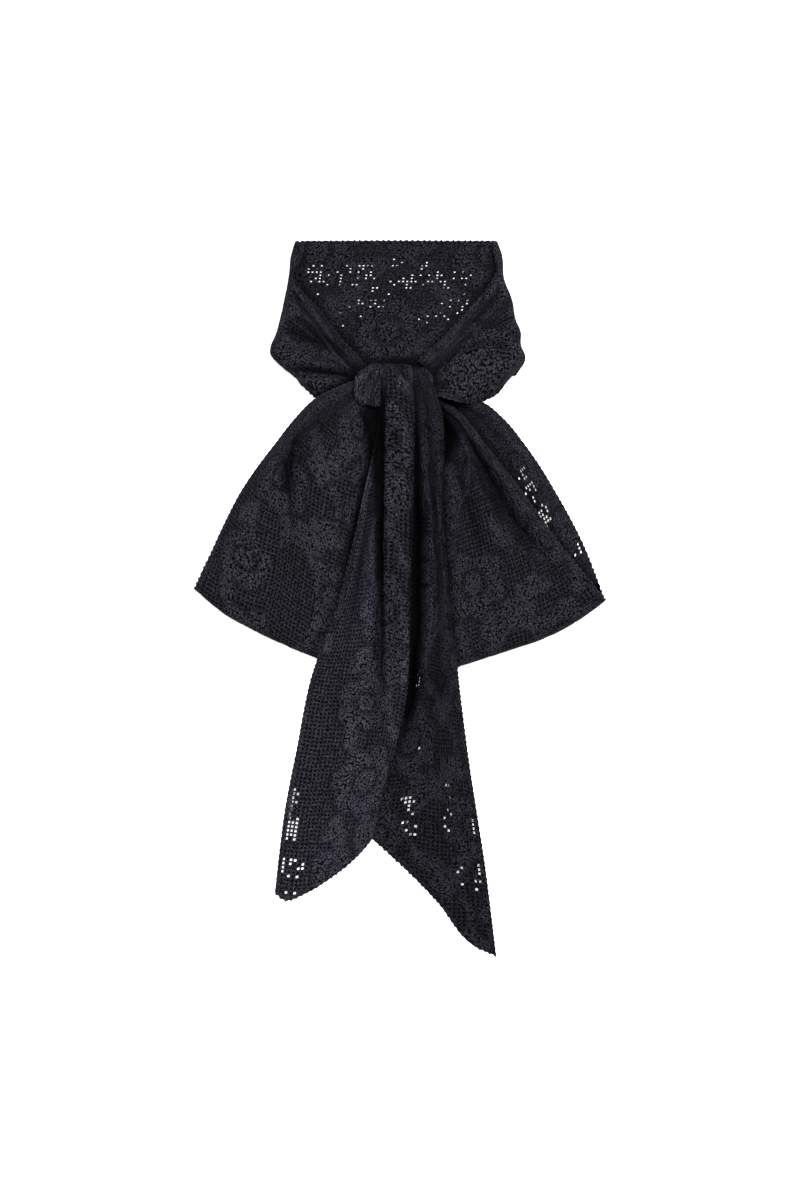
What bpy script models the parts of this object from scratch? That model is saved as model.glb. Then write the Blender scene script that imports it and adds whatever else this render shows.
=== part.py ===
"""A lace tie scarf, tied in a bow and laid flat on a table.

The scarf is one long strip of corded lace. It goes round an empty neck loop, is tied in a drooping bow and ends in two
slanted tails. Each stretch of the strip that shows is one object: the back of the neck loop, its two front wraps, the two
bow loops, the knot and the two tails.

The frame has +Z up and +Y towards the neck loop. Its origin lies on the table, under the middle of the scarf's outline.
Each stretch is a loft between unlike sections. A table gives its folds, one row for each fold line that runs along the
strip, with the line's place in plan and how far it stands above whatever cloth lies beneath it, at a few stations.
The stretches are laid one after another, and each rests on those before it.
"""

import bmesh
import bpy
import numpy as np

MM = 0.001

WALL = 1.8  # thickness of the lace, over its cords
GAP = 0.5  # clear space between two layers of cloth
TABLE_HALF = (210.0, 345.0)  # half sizes of the area on which heights are kept
CELL = 1.0  # spacing of the points at which heights are kept
DRAPE_REACH = 4  # how far past an edge beneath it cloth stays lifted
DRAPE_EASE = 8  # over what distance it then comes down
SETTLE_ROUNDS = 12
SHORT_ENOUGH = 0.02  # a shortfall under which cloth counts as clear of what lies beneath

BLACK_LACE = (0.017, 0.016, 0.019, 1.0)

# The rows of every table below are fold lines that run along the strip. The numbers are x, y and the height above what
# lies beneath, in millimetres, at the stations that the columns name.

# The back of the neck loop, from its top edge to its lower edge.
NECK_BACK = (
    # fold line      left             middle          right
    ("top edge",    (-89, 322, 0),   (-4, 322.2, 0), (84, 322, 0)),
    ("upper third", (-95, 284, 0),   (-4, 284, 0),   (89, 284, 0)),
    ("lower third", (-100, 246, 0),  (-3, 246, 0),   (96, 246, 0)),
    ("lower edge",  (-105, 210, 0),  (-2, 204, 0),   (101, 208, 0)),
)

# The left front wrap, from its fold at the side to the knot.
FRONT_LEFT = (
    # fold line       side             collar            outer            middle          inner           root
    ("neck edge",    (-94, 321, 4),   (-88, 319, 5),   (-95, 288, 6),  (-74, 261, 6),  (-52, 232, 6),  (-31, 210, 3)),
    ("edge roll",    (-97, 311, 7),   (-94, 308, 8),   (-96, 281, 9),  (-76, 256, 9),  (-54, 228, 8),  (-31, 208, 3)),
    ("first valley", (-99, 293, 8),   (-97, 288, 7),   (-92, 273, 4),  (-76, 249, 4),  (-54, 223, 4),  (-32, 206, 2)),
    ("upper panel",  (-104, 264, 12), (-100, 262, 13), (-93, 255, 12), (-73, 237, 10), (-53, 216, 7),  (-32, 204, 3)),
    ("deep valley",  (-110, 240, 9),  (-105, 238, 7),  (-95, 233, 4),  (-72, 220, 2),  (-53, 209, 2),  (-33, 201, 2)),
    ("side roll",    (-116, 221, 12), (-110, 219, 14), (-98, 216, 13), (-71, 209, 9),  (-53, 203, 6),  (-33, 198, 3)),
    ("low valley",   (-106, 209, 6),  (-100, 207, 4),  (-90, 203, 3),  (-67, 199, 3),  (-52, 198, 3),  (-33, 195, 2)),
    ("lower panel",  (-98, 203, 6),   (-94, 201, 7),   (-86, 196, 7),  (-66, 192, 6),  (-52, 193, 5),  (-33, 192, 2)),
    ("lower edge",   (-93, 199, 3),   (-90, 195, 3),   (-84, 189, 3),  (-72, 180, 3),  (-53, 187, 3),  (-33, 189, 2)),
)

# The right front wrap, which is fuller and lies over the root of the right bow loop.
FRONT_RIGHT = (
    # fold line        side             outer           middle          inner           root
    ("neck edge",     (87, 321, 4),    (87, 296, 5),   (64, 262, 6),   (37, 233, 6),   (17, 214, 3)),
    ("edge roll",     (91, 310, 7),    (89, 287, 8),   (66, 257, 9),   (39, 229, 7),   (19, 211, 3)),
    ("first valley",  (93, 287, 8),    (87, 277, 5),   (66, 251, 5),   (40, 226, 4),   (20, 209, 2)),
    ("upper panel",   (100, 269, 13),  (90, 262, 12),  (66, 245, 10),  (41, 222, 6),   (21, 207, 3)),
    ("second valley", (103, 252, 9),   (91, 248, 7),   (66, 239, 6),   (41, 219, 5),   (22, 205, 2)),
    ("middle panel",  (108, 239, 14),  (93, 237, 13),  (66, 233, 9),   (42, 216, 6),   (23, 202, 3)),
    ("third valley",  (108, 228, 10),  (92, 227, 6),   (65, 226, 4),   (42, 212, 4),   (24, 199, 2)),
    ("lower panel",   (112, 217, 13),  (95, 208, 13),  (66, 204, 11),  (44, 201, 8),   (26, 194, 3)),
    ("lower edge",    (104, 202, 4),   (88, 186, 4),   (66, 177, 4),   (46, 179, 4),   (30, 184, 3)),
)

# The under layer of the left bow loop, from its outer edge to its inner edge.
LOOP_LEFT_UNDER = (
    # fold line       root            shoulder        upper            middle           low              hem
    ("outer edge",   (-30, 197, 0),  (-72, 175, 0),  (-108, 136, 0),  (-139, 94, 0),   (-165, 42, 0),   (-184, 9, 0)),
    ("outer sixth",  (-28, 195, 0),  (-66, 171, 0),  (-98, 131, 0),   (-124, 88, 0),   (-147, 32, 0),   (-160, -11, 0)),
    ("outer third",  (-26, 193, 0),  (-58, 167, 0),  (-84, 127, 0),   (-104, 82, 0),   (-122, 20, 0),   (-128, -29, 0)),
    ("middle",       (-24, 191, 0),  (-48, 163, 0),  (-66, 123, 0),   (-80, 76, 0),    (-94, 8, 0),     (-100, -42, 0)),
    ("inner third",  (-22, 189, 0),  (-38, 160, 0),  (-48, 120, 0),   (-56, 70, 0),    (-68, 0, 0),     (-74, -53, 0)),
    ("inner sixth",  (-20, 187, 0),  (-27, 158, 0),  (-30, 117, 0),   (-36, 66, 0),    (-46, -4, 0),    (-52, -62, 0)),
    ("inner edge",   (-17, 185, 0),  (-14, 156, 0),  (-11, 114, 0),   (-15, 62, 0),    (-24, -8, 0),    (-34, -67, 0)),
)

# The upper layer of the left bow loop, with the same fold lines in the same order.
LOOP_LEFT_UPPER = (
    # fold line       root            shoulder        upper            middle           low              hem
    ("outer edge",   (-30, 199, 2),  (-77, 178, 4),  (-111, 140, 5),  (-142, 97, 5),   (-168, 44, 5),   (-184, 9, 6)),
    ("outer roll",   (-28, 197, 3),  (-71, 173, 8),  (-106, 134, 10), (-133, 91, 8),   (-153, 34, 7),   (-160, -11, 6)),
    ("long valley",  (-26, 194, 3),  (-64, 167, 3),  (-100, 127, 3),  (-106, 84, 4),   (-113, 21, 5),   (-128, -29, 6)),
    ("broad panel",  (-24, 192, 3),  (-52, 164, 13), (-72, 123, 18),  (-80, 76, 16),   (-90, 10, 11),   (-100, -42, 7)),
    ("inner panel",  (-22, 190, 3),  (-38, 161, 13), (-41, 120, 16),  (-51, 70, 14),   (-64, 3, 9),     (-74, -53, 7)),
    ("inner fall",   (-20, 188, 3),  (-28, 158, 4),  (-28, 117, 4),   (-37, 66, 4),    (-48, -2, 4),    (-52, -62, 6)),
    ("inner edge",   (-17, 186, 2),  (-16, 156, 1),  (-13, 114, 1),   (-18, 62, 1),    (-28, -7, 2),    (-34, -67, 5)),
)

# The under layer of the right bow loop, from its inner edge to its outer edge, which reaches past the upper layer.
LOOP_RIGHT_UNDER = (
    # fold line       root            shoulder        upper           middle          low             hem
    ("inner edge",   (6, 178, 0),    (11, 158, 0),   (11, 128, 0),   (13, 84, 0),    (18, 18, 0),    (26, -67, 0)),
    ("inner sixth",  (10, 179, 0),   (28, 161, 0),   (34, 131, 0),   (40, 86, 0),    (47, 21, 0),    (52, -60, 0)),
    ("inner third",  (14, 180, 0),   (40, 164, 0),   (54, 133, 0),   (66, 88, 0),    (75, 25, 0),    (77, -51, 0)),
    ("middle",       (18, 181, 0),   (50, 168, 0),   (72, 136, 0),   (90, 91, 0),    (102, 30, 0),   (104, -42, 0)),
    ("sunk strip",   (22, 182, 0),   (60, 171, 0),   (90, 138, 0),   (113, 94, 0),   (130, 36, 0),   (134, -31, 0)),
    ("outer band",   (26, 183, 1),   (68, 174, 6),   (103, 140, 7),  (130, 97, 5),   (151, 43, 3),   (162, -17, 0)),
    ("outer edge",   (30, 184, 1),   (74, 177, 3),   (111, 140, 3),  (139, 97, 2),   (165, 48, 1),   (184, -1, 0)),
)

# The upper layer of the right bow loop.
LOOP_RIGHT_UPPER = (
    # fold line        root            shoulder        upper           middle          low             hem
    ("inner edge",    (6, 178, 2),    (11, 158, 1),   (11, 128, 1),   (13, 84, 1),    (18, 18, 2),    (26, -67, 5)),
    ("inner panel",   (9, 179, 3),    (32, 158, 6),   (40, 128, 9),   (43, 84, 11),   (49, 19, 10),   (52, -60, 7)),
    ("first valley",  (12, 180, 2),   (38, 160, 3),   (53, 128, 4),   (56, 84, 5),    (66, 21, 7),    (77, -52, 6)),
    ("broad panel",   (15, 181, 3),   (42, 163, 9),   (62, 129, 13),  (78, 83, 14),   (92, 23, 11),   (104, -43.5, 7)),
    ("outer valley",  (18, 182, 3),   (44, 165, 5),   (69, 130, 5),   (94, 88, 5),    (118, 31, 5),   (134, -32.5, 6)),
    ("edge roll",     (21, 183, 3),   (46, 168, 10),  (73, 132, 12),  (102, 94, 10),  (136, 42, 8),   (162, -17, 6)),
    ("outer edge",    (24, 184, 2),   (49, 171, 4),   (78, 136, 4),   (107, 99, 3),   (144, 48, 3),   (184, -1, 6)),
)

# The knot, by sections across the scarf from left to right.
KNOT = (
    # x, upper y, lower y, height of its top above the table
    (-34, 203, 182, 12),
    (-32, 207, 177, 19),
    (-25, 209, 173, 25),
    (-12, 209, 172, 28),
    (4, 208, 173, 28),
    (16, 207, 176, 26),
    (24, 205, 179, 21),
    (28, 201, 183, 14),
)
KNOT_SIDES = 18
LEAST_LUMP = 4.0  # thinnest that the knot gets, at its two ends
KNOT_REACH = 4  # how far round each of its points the knot's underside clears the cloth beneath
KNOT_EASE = 2  # over what distance its underside follows that cloth

# The left tail, which comes over the knot and lies uppermost, from its left edge to its right edge.
TAIL_LEFT = (
    # fold line       tuck             crown           waist          bow             rim
    ("outer edge",   (-29, 207, -15), (-29, 200, 0),  (-19, 174, 0), (-32, 93, 1),   (-57, -8, 1)),
    ("thin ridge",   (-27, 208, -15), (-26, 201, 1),  (-18, 174, 1), (-27, 93, 9),   (-49, -7, 8)),
    ("thin valley",  (-24, 209, -15), (-23, 202, 1),  (-17, 174, 1), (-22, 93, 3),   (-40, -6, 3)),
    ("panel",        (-20, 210, -15), (-19, 202, 1),  (-15, 174, 1), (-19, 94, 6),   (-28, -5, 8)),
    ("valley",       (-16, 210, -15), (-15, 202, 1),  (-14, 174, 1), (-16, 94, 3),   (-17, -4, 3)),
    ("column left",  (-12, 210, -15), (-11, 202, 2),  (-12, 174, 2), (-12, 95, 13),  (-12, -4, 12)),
    ("column",       (-3, 210, -15),  (-3, 202, 2),   (-1, 174, 4),  (-1, 96, 18),   (-2, -5, 16)),
    ("column right", (5, 209, -15),   (6, 201, 1),    (9, 174, 2),   (10, 96, 12),   (7, -5, 11)),
    ("inner edge",   (9, 208, -15),   (10, 200, 0),   (12, 174, 0),  (13, 96, 1),    (10, -5, 1)),
)

# The same fold lines of the left tail, from below the bow to its slanted hem.
TAIL_LEFT_LOW = (
    # fold line       foot            fall             low              hem
    ("outer edge",   (-81, -77, 0),  (-91, -128, 0),  (-103, -190, 0), (-112, -264, 0)),
    ("thin ridge",   (-70, -77, 6),  (-79, -129, 5),  (-91, -190, 3),  (-104, -270, 0)),
    ("thin valley",  (-55, -77, 2),  (-62, -130, 1),  (-74, -189, 1),  (-85, -264, 0)),
    ("panel",        (-37, -77, 7),  (-45, -131, 6),  (-57, -188, 4),  (-65, -252, 0)),
    ("valley",       (-18, -77, 2),  (-27, -132, 1),  (-41, -187, 1),  (-50, -241, 0)),
    ("column left",  (-12, -77, 8),  (-18, -133, 4),  (-33, -185, 2),  (-42, -234, 0)),
    ("column",       (-5, -78, 10),  (-12, -133, 6),  (-27, -184, 3),  (-36, -228, 0)),
    ("column right", (3, -79, 7),    (-7, -134, 4),   (-22, -182, 2),  (-30, -221, 0)),
    ("inner edge",   (6, -80, 0),    (-4, -134, 0),   (-18, -181, 0),  (-25, -214, 0)),
)

# The right tail, which comes out over the knot's right side, from its inner edge to its outer edge.
TAIL_RIGHT = (
    # fold line       tuck            crown          waist          bow            rim
    ("inner edge",   (4, 207, -15),  (4, 199, 0),   (8, 174, 0),   (10, 93, 1),   (6, -25, 1)),
    ("sunk strip",   (7, 207, -15),  (8, 199, 0),   (11, 174, 1),  (15, 93, 1),   (13, -25, 1)),
    ("left ridge",   (10, 207, -15), (12, 199, 2),  (15, 174, 3),  (24, 93, 11),  (25, -25, 10)),
    ("valley",       (15, 206, -13), (17, 198, 0),  (23, 174, 1),  (29, 93, 5),   (34, -25, 5)),
    ("right ridge",  (20, 204, -10), (23, 197, 2),  (31, 174, 3),  (34, 93, 11),  (42, -25, 8)),
    ("outer edge",   (23, 202, -8),  (27, 195, 0),  (35, 174, 0),  (38, 93, 1),   (47, -25, 1)),
)

# The same fold lines of the right tail, from below the bow to its slanted hem.
TAIL_RIGHT_LOW = (
    # fold line       foot            fall            low             hem
    ("inner edge",   (-6, -84, 0),   (-16, -132, 0), (-30, -172, 0), (-38, -203, 0)),
    ("sunk strip",   (7, -85, 1),    (0, -134, 1),   (-11, -182, 1), (-18, -221, 0)),
    ("left ridge",   (22, -86, 7),   (19, -137, 4),  (13, -200, 3),  (9, -246, 0)),
    ("valley",       (34, -87, 3),   (34, -140, 1),  (36, -216, 1),  (34, -272, 0)),
    ("right ridge",  (46, -88, 6),   (51, -144, 5),  (60, -232, 4),  (61, -305, 0)),
    ("outer edge",   (54, -88, 0),   (61.5, -146, 0), (76, -240, 0), (86, -323, 0)),
)

TURN_SEAM = 7.0  # how far the front wraps reach under themselves, to their seams with the back
TURN_SHARE = 0.5  # radius of a turned edge, as a share of its height


def clear_scene():
    for old in list(bpy.data.objects):
        bpy.data.objects.remove(old, do_unlink=True)


def net_of(*tables):
    """The tables, one after another, as an array: stations, fold lines, then x, y and height."""
    nets = [np.array([row[1:] for row in table], float).transpose(1, 0, 2) for table in tables]
    return np.concatenate(nets)


def through(points, per_span):
    """Smooth curves through the points along the first axis, with per_span steps between neighbours.

    Each curve is a cubic through its points whose slopes allow for their uneven spacing, so that it doesn't overshoot
    where a short step follows a long one.
    """
    step = np.diff(points, axis=0)
    length = np.linalg.norm(step, axis=-1, keepdims=True) + 1e-6
    pace = step / length
    slope = (pace[:-1] * length[1:] + pace[1:] * length[:-1]) / (length[:-1] + length[1:])
    slope = np.concatenate([pace[:1], slope, pace[-1:]])
    share = (np.arange(per_span) / per_span).reshape(-1, *[1] * (points.ndim - 1))
    spans = []
    for start, move, reach, leaving, arriving in zip(points, step, length, slope, slope[1:]):
        blend = share**2 * (3 - 2 * share)
        early = share * (1 - share) ** 2 * reach * leaving
        late = share**2 * (1 - share) * reach * arriving
        spans.append(start + blend * move + early - late)
    return np.concatenate([*spans, points[-1:]])


def loft(net, along, across):
    """A smooth surface through the net, with along and across steps between its stations and fold lines."""
    lines = through(net, along)
    grid = through(lines.transpose(1, 0, 2), across).transpose(1, 0, 2)
    grid[..., 2] = np.maximum(grid[..., 2], min(0, net[..., 2].min()))
    return grid


def normals_of(grid):
    """Unit normals of a grid of points, from the differences between its neighbours."""
    normal = np.cross(np.gradient(grid, axis=0), np.gradient(grid, axis=1))
    return normal / np.linalg.norm(normal, axis=2, keepdims=True)


def steps_of(grid):
    """How many samples each mesh edge needs along both axes, so that none skips a point of the table."""
    return [int(np.ceil(np.abs(np.diff(grid[..., :2], axis=axis)).max() / CELL)) for axis in (0, 1)]


def refined(grid, steps):
    """The grid with that many times the points along each axis, by straight lines between its points."""
    for axis, times in enumerate(steps):
        grid = np.moveaxis(grid, axis, 0)
        at = np.arange((len(grid) - 1) * times + 1) / times
        low = np.minimum(at.astype(int), len(grid) - 2)
        share = (at - low).reshape(-1, *[1] * (grid.ndim - 1))
        grid = np.moveaxis(grid[low] * (1 - share) + grid[low + 1] * share, 0, axis)
    return grid


def faces_of(grid, steps):
    """Both faces of a wall round the grid, finely sampled."""
    push = normals_of(grid) * WALL / 2
    return np.stack([refined(grid + push, steps), refined(grid - push, steps)])


def spread(high, reach, pick):
    """The highest or the mean value, as pick says, in a square round each point."""
    for axis in (0, 1):
        high = pick([np.roll(high, shift, axis) for shift in range(-reach, reach + 1)], axis=0)
    return high


class Pile:
    """The height of the cloth laid so far over each point of the table, with the gap above it."""

    def __init__(self):
        self.top = np.zeros([int(2 * half / CELL) + 1 for half in TABLE_HALF])

    def cells(self, points):
        x = np.rint((points[..., 0] + TABLE_HALF[0]) / CELL).astype(int)
        y = np.rint((points[..., 1] + TABLE_HALF[1]) / CELL).astype(int)
        return x, y

    def add(self, points):
        np.maximum.at(self.top, self.cells(points), points[..., 2] + GAP)

    def copy(self):
        other = Pile()
        other.top = self.top.copy()
        return other

    def eased(self):
        """The heights, held past every edge by DRAPE_REACH and let down over DRAPE_EASE."""
        return spread(spread(self.top, DRAPE_REACH + DRAPE_EASE, np.max), DRAPE_EASE, np.mean)


def corner_lift(short, steps):
    """For each point of the coarse grid, the largest shortfall in the faces that meet there."""
    for axis, times in enumerate(steps):
        short = np.moveaxis(short, axis, 0)
        padded = np.pad(short, [(times, times), (0, 0)])
        short = np.max([padded[at : at + len(short)] for at in range(2 * times + 1)], axis=0)[::times]
        short = np.moveaxis(short, 0, axis)
    return short


def laid(grid, pile, layer=None, under=None):
    """The grid with its heights counted from the table: each point stands on the pile, and clears it.

    Where a piece is doubled, layer runs from 0 on its under layer to 1 on its upper one, and under is the pile that the
    under layer lies on.
    """
    layer = np.ones(grid.shape[:2]) if layer is None else layer
    under = pile if under is None else under
    cells = pile.cells(grid)
    out = grid.copy()
    out[..., 2] += (1 - layer) * under.eased()[cells] + layer * pile.eased()[cells] + WALL / 2
    steps = steps_of(grid)
    upper = refined(layer[..., None], steps)[..., 0] > 0.5
    for _ in range(SETTLE_ROUNDS):
        face = faces_of(out, steps)
        cells = pile.cells(face)
        floor = np.where(upper, pile.top[cells], under.top[cells])
        short = np.maximum(floor - face[..., 2], 0).max(axis=0)
        if short.max() < SHORT_ENOUGH:
            break
        out[..., 2] += corner_lift(short, steps)
    return out


def turned_in(edge, before, inset):
    """Points short of the edge by inset, on the way back to the station before it."""
    way = before[:, :2] - edge[:, :2]
    out = edge.copy()
    out[:, :2] += way / np.linalg.norm(way, axis=1, keepdims=True) * inset[:, None]
    return out


def along_steps(layer, rows):
    return np.interp(np.linspace(0, len(layer) - 1, rows), range(len(layer)), layer)


def doubled(under_net, upper_net, along, across):
    """(surface, layer) of cloth that runs out along the under net, turns over at its hem and comes back along the upper."""
    height = upper_net[-1, :, 2]
    hem = upper_net[-1].copy()
    hem[:, 2] = height / 2
    under_net[-1] = turned_in(under_net[-1], under_net[-2], height * TURN_SHARE)
    upper_net[-1] = turned_in(upper_net[-1], upper_net[-2], height * TURN_SHARE)
    net = np.concatenate([under_net, hem[None], upper_net[::-1]])
    grid = loft(net, along, across)
    steps = along_steps([*[0] * len(under_net), 0.5, *[1] * len(upper_net)], len(grid))
    return grid, np.repeat(steps[:, None], grid.shape[1], axis=1)


def wrapped(net, along, across):
    """(surface, layer) of a front wrap: from its seam on the table, out to the side, over and in to the knot."""
    side = net[0]
    inward = -np.sign(side[:, :1]) * np.array([1.0, 0.0])
    turn = side[:, 2:] * TURN_SHARE
    seam = np.concatenate([side[:, :2] + inward * TURN_SEAM, 0 * turn], axis=1)
    low = np.concatenate([side[:, :2] + inward * turn / 2, 0 * turn], axis=1)
    middle = np.concatenate([side[:, :2], side[:, 2:] / 2], axis=1)
    high = np.concatenate([side[:, :2] + inward * turn, side[:, 2:]], axis=1)
    grid = loft(np.concatenate([[seam, low, middle, high], net[1:]]), along, across)
    steps = along_steps([0, 0, 0.5, *[1] * len(net)], len(grid))
    return grid, np.repeat(steps[:, None], grid.shape[1], axis=1)


def lay_doubled(grid, layer, pile):
    """A doubled piece laid on the pile, its under layer first."""
    below = laid(grid, pile)[: int((layer[:, 0] < 0.4).sum())]
    both = pile.copy()
    both.add(faces_of(below, steps_of(below)))
    return laid(grid, both, layer, pile)


def lace(name):
    material = bpy.data.materials.new(name)
    material.use_nodes = True
    shader = material.node_tree.nodes["Principled BSDF"]
    shader.inputs["Base Color"].default_value = BLACK_LACE
    shader.inputs["Roughness"].default_value = 0.85
    shader.inputs["Metallic"].default_value = 0.0
    material.diffuse_color = BLACK_LACE
    return material


def mesh_of(name, points, faces, collection):
    """A mesh object in millimetres whose normals all agree."""
    mesh = bpy.data.meshes.new(name)
    mesh.from_pydata((points.reshape(-1, 3) * MM).tolist(), [], faces)
    shape = bmesh.new()
    shape.from_mesh(mesh)
    bmesh.ops.recalc_face_normals(shape, faces=shape.faces)
    shape.to_mesh(mesh)
    shape.free()
    mesh.shade_smooth()
    mesh.materials.append(lace(name + "_lace"))
    thing = bpy.data.objects.new(name, mesh)
    collection.objects.link(thing)
    return thing


def sheet(name, grid, collection):
    """A wall of cloth with its middle on the grid."""
    rows, columns = grid.shape[:2]
    number = np.arange(rows * columns).reshape(rows, columns)
    quads = np.stack([number[:-1, :-1], number[:-1, 1:], number[1:, 1:], number[1:, :-1]], axis=-1)
    thing = mesh_of(name, grid, quads.reshape(-1, 4).tolist(), collection)
    wall = thing.modifiers.new("wall", "SOLIDIFY")
    wall.thickness = WALL * MM
    wall.offset = 0.0


def knot_rings(pile):
    """Rings round the knot from left to right, rounded above, with an underside that lies on the cloth beneath."""
    rows = through(np.array(KNOT, float), 2)
    angle = np.linspace(0, 2 * np.pi, KNOT_SIDES, endpoint=False)
    x, high, low, top = rows.T[..., None]
    y = (high + low) / 2 + (high - low) / 2 * np.cos(angle)
    rings = np.stack([np.broadcast_to(x, y.shape), y, np.zeros_like(y)], axis=-1)
    base = spread(spread(pile.top, KNOT_REACH, np.max), KNOT_EASE, np.mean)[pile.cells(rings)]
    rise = np.sqrt(np.abs(np.sin(angle)))
    crown = np.maximum(top, base + LEAST_LUMP)
    rings[..., 2] = np.where(np.sin(angle) > 1e-9, base + (crown - base) * rise, base)
    return rings


def knot(name, rings, collection):
    """A closed lump lofted through the rings."""
    count, sides = rings.shape[:2]
    number = np.arange(count * sides).reshape(count, sides)
    after = np.roll(number, -1, axis=1)
    quads = np.stack([number[:-1], after[:-1], after[1:], number[1:]], axis=-1)
    ends = [number[0].tolist(), number[-1].tolist()]
    mesh_of(name, rings, quads.reshape(-1, 4).tolist() + ends, collection)


def main():
    clear_scene()
    scarf = bpy.data.collections.new("tie_scarf")
    bpy.context.scene.collection.children.link(scarf)
    pile = Pile()

    def put(name, grid):
        sheet(name, grid, scarf)
        pile.add(faces_of(grid, steps_of(grid)))

    put("neck_back", laid(loft(net_of(NECK_BACK), 3, 3), pile))

    right, layer = doubled(net_of(LOOP_RIGHT_UNDER), net_of(LOOP_RIGHT_UPPER), 2, 3)
    put("bow_loop_right", lay_doubled(right, layer, pile))

    front, layer = wrapped(net_of(FRONT_RIGHT), 2, 3)
    put("neck_front_right", lay_doubled(front, layer, pile))

    front, layer = wrapped(net_of(FRONT_LEFT), 2, 3)
    put("neck_front_left", lay_doubled(front, layer, pile))

    left, layer = doubled(net_of(LOOP_LEFT_UNDER), net_of(LOOP_LEFT_UPPER), 2, 3)
    put("bow_loop_left", lay_doubled(left, layer, pile))

    rings = knot_rings(pile)
    knot("knot", rings, scarf)
    closed = np.concatenate([rings, rings[:, :1]], axis=1)
    pile.add(refined(closed, steps_of(closed)))

    put("tail_right", laid(loft(net_of(TAIL_RIGHT, TAIL_RIGHT_LOW), 2, 4), pile))
    put("tail_left", laid(loft(net_of(TAIL_LEFT, TAIL_LEFT_LOW), 2, 3), pile))


main()
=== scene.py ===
"""The look of a lace tie scarf, tied in a bow and laid flat.

Every stretch of the scarf is a strip of corded lace: a net of square meshes with flowers, leaves and stems worked
solid into it, each outlined by a laid cord. The strip's folds come from the same tables of fold lines as the solids
do, so that each stretch lies where its solid lies. Its lace is a lattice of bars and holes in the cloth's own
measure, u along the strip and v across it, both in millimetres.
"""

import bpy
import numpy as np
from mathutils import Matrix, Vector


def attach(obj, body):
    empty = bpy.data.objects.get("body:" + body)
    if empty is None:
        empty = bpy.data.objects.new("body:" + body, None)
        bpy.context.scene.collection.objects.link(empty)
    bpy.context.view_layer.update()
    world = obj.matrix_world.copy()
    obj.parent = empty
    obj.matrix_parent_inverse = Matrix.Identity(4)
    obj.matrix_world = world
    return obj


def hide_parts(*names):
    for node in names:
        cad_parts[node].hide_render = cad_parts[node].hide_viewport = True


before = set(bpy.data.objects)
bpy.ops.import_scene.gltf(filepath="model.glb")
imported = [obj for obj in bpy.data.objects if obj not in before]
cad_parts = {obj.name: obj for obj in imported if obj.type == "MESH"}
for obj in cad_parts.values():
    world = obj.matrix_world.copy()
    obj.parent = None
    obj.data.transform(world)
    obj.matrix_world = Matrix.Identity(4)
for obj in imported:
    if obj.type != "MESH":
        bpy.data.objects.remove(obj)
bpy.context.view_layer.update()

MM = 0.001

WALL = 1.8  # thickness of the solids, which the laying of the cloth allows for
GAP = 0.5  # clear space between two layers of cloth
TABLE_HALF = (210.0, 345.0)  # half sizes of the area on which heights are kept
CELL = 1.0  # spacing of the points at which heights are kept
DRAPE_REACH = 4  # how far past an edge beneath it cloth stays lifted
DRAPE_EASE = 8  # over what distance it then comes down
SETTLE_ROUNDS = 12
SHORT_ENOUGH = 0.02  # a shortfall under which cloth counts as clear of what lies beneath

# The net: square meshes between thin bars of knotted yarn. Each pair is a width across the strip and one along it.
MESH = (3.5, 3.7)
BARS = (1.5, 1.6)
BACK_MESH = (2.8, 3.7)  # the net at the back of the neck is closer
BACK_BARS = (1.8, 2.3)
SELVEDGE = 2.6
END_BAR = 0.5  # width of the bar at either end of a strip
HEM_WIDTH = 2.5  # how far from a hem the net is closed
FACE_RISE = 0.55  # how far the net's outer face stands from the middle of the cloth
WORKED_RISE = 0.3  # how much further the worked parts stand out
BACK_RISE = 0.5  # how far the inner face stands from the middle
PIT_DEPTH = 1.0  # depth of a mesh that has more cloth behind it
PIT_SHADE = -6.0  # the painted light at its bottom, so far under 0 that the mesh is painted black nearly up to its bars, as painted shade
CLOSED_UP = 0.95  # a mesh whose hole is gathered narrower than this is closed
ALL_OPEN = 0.15  # share of open meshes over which the worked parts are open as the net is
COLUMN_SHARE = (0.4, 1.6)  # least and most of a patch's share that one column of its meshes has

# The cords round the worked parts, and the corded edge with its small bumps.
IN_SIGHT = 0.6  # a cord is laid on the side in sight, which is 1 where hidden layers are 0
CORD_RADIUS = 0.42
CORD_THIN = 0.35  # the thinnest that a cord is drawn where the cloth is gathered, as a share of its radius
CORD_SIDES = 5
CORD_LEAST = 0.5  # a cord sinks into gathers that draw the cloth up to less than this share of its width
CORD_STEP = 1.9
CORD_POINTS = 4  # fewest points of a stretch of cord
CORD_SEAT = FACE_RISE + 0.6 * WORKED_RISE  # height of its middle over the middle of the cloth
EDGE_RADIUS = 0.8
EDGE_PICOT = 1.1  # how far each bump stands out
EDGE_BEAD = 5.2  # spacing of the bumps
EDGE_INNER = 0.03  # how far toward the cloth's middle the point lies that a bump stands away from, as a share
EDGE_STEP = 1.5
HEM_STEP = 1.3

ATTRIBUTES = ("shade", "crust", "cord")
SEED = 5
KNOT_START = 14  # where on its rings the knot's band begins and ends, on the underside
FLOOR_GAP = 0.03
SWELL = 0.3  # a quarter of the most that the cloth's slow swell lifts it
# Painted shade: the lace is painted darker the deeper it lies under the mean height of the cloth around it.
SHADE_REACH = 9  # how far round a point the cloth's mean height is taken, to tell how deep the point lies
SHADE_FREE = 2.0  # how far below that height it may lie and still be as light as ever
SHADE_DEPTH = 6.0  # how deep in a gap the lace looks about a third as light
CORD_RIM_SHADE = 0.55  # how much painted shade darkens the lace right beside the cord that outlines a worked part
RIM_REACH = 0.35

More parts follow.
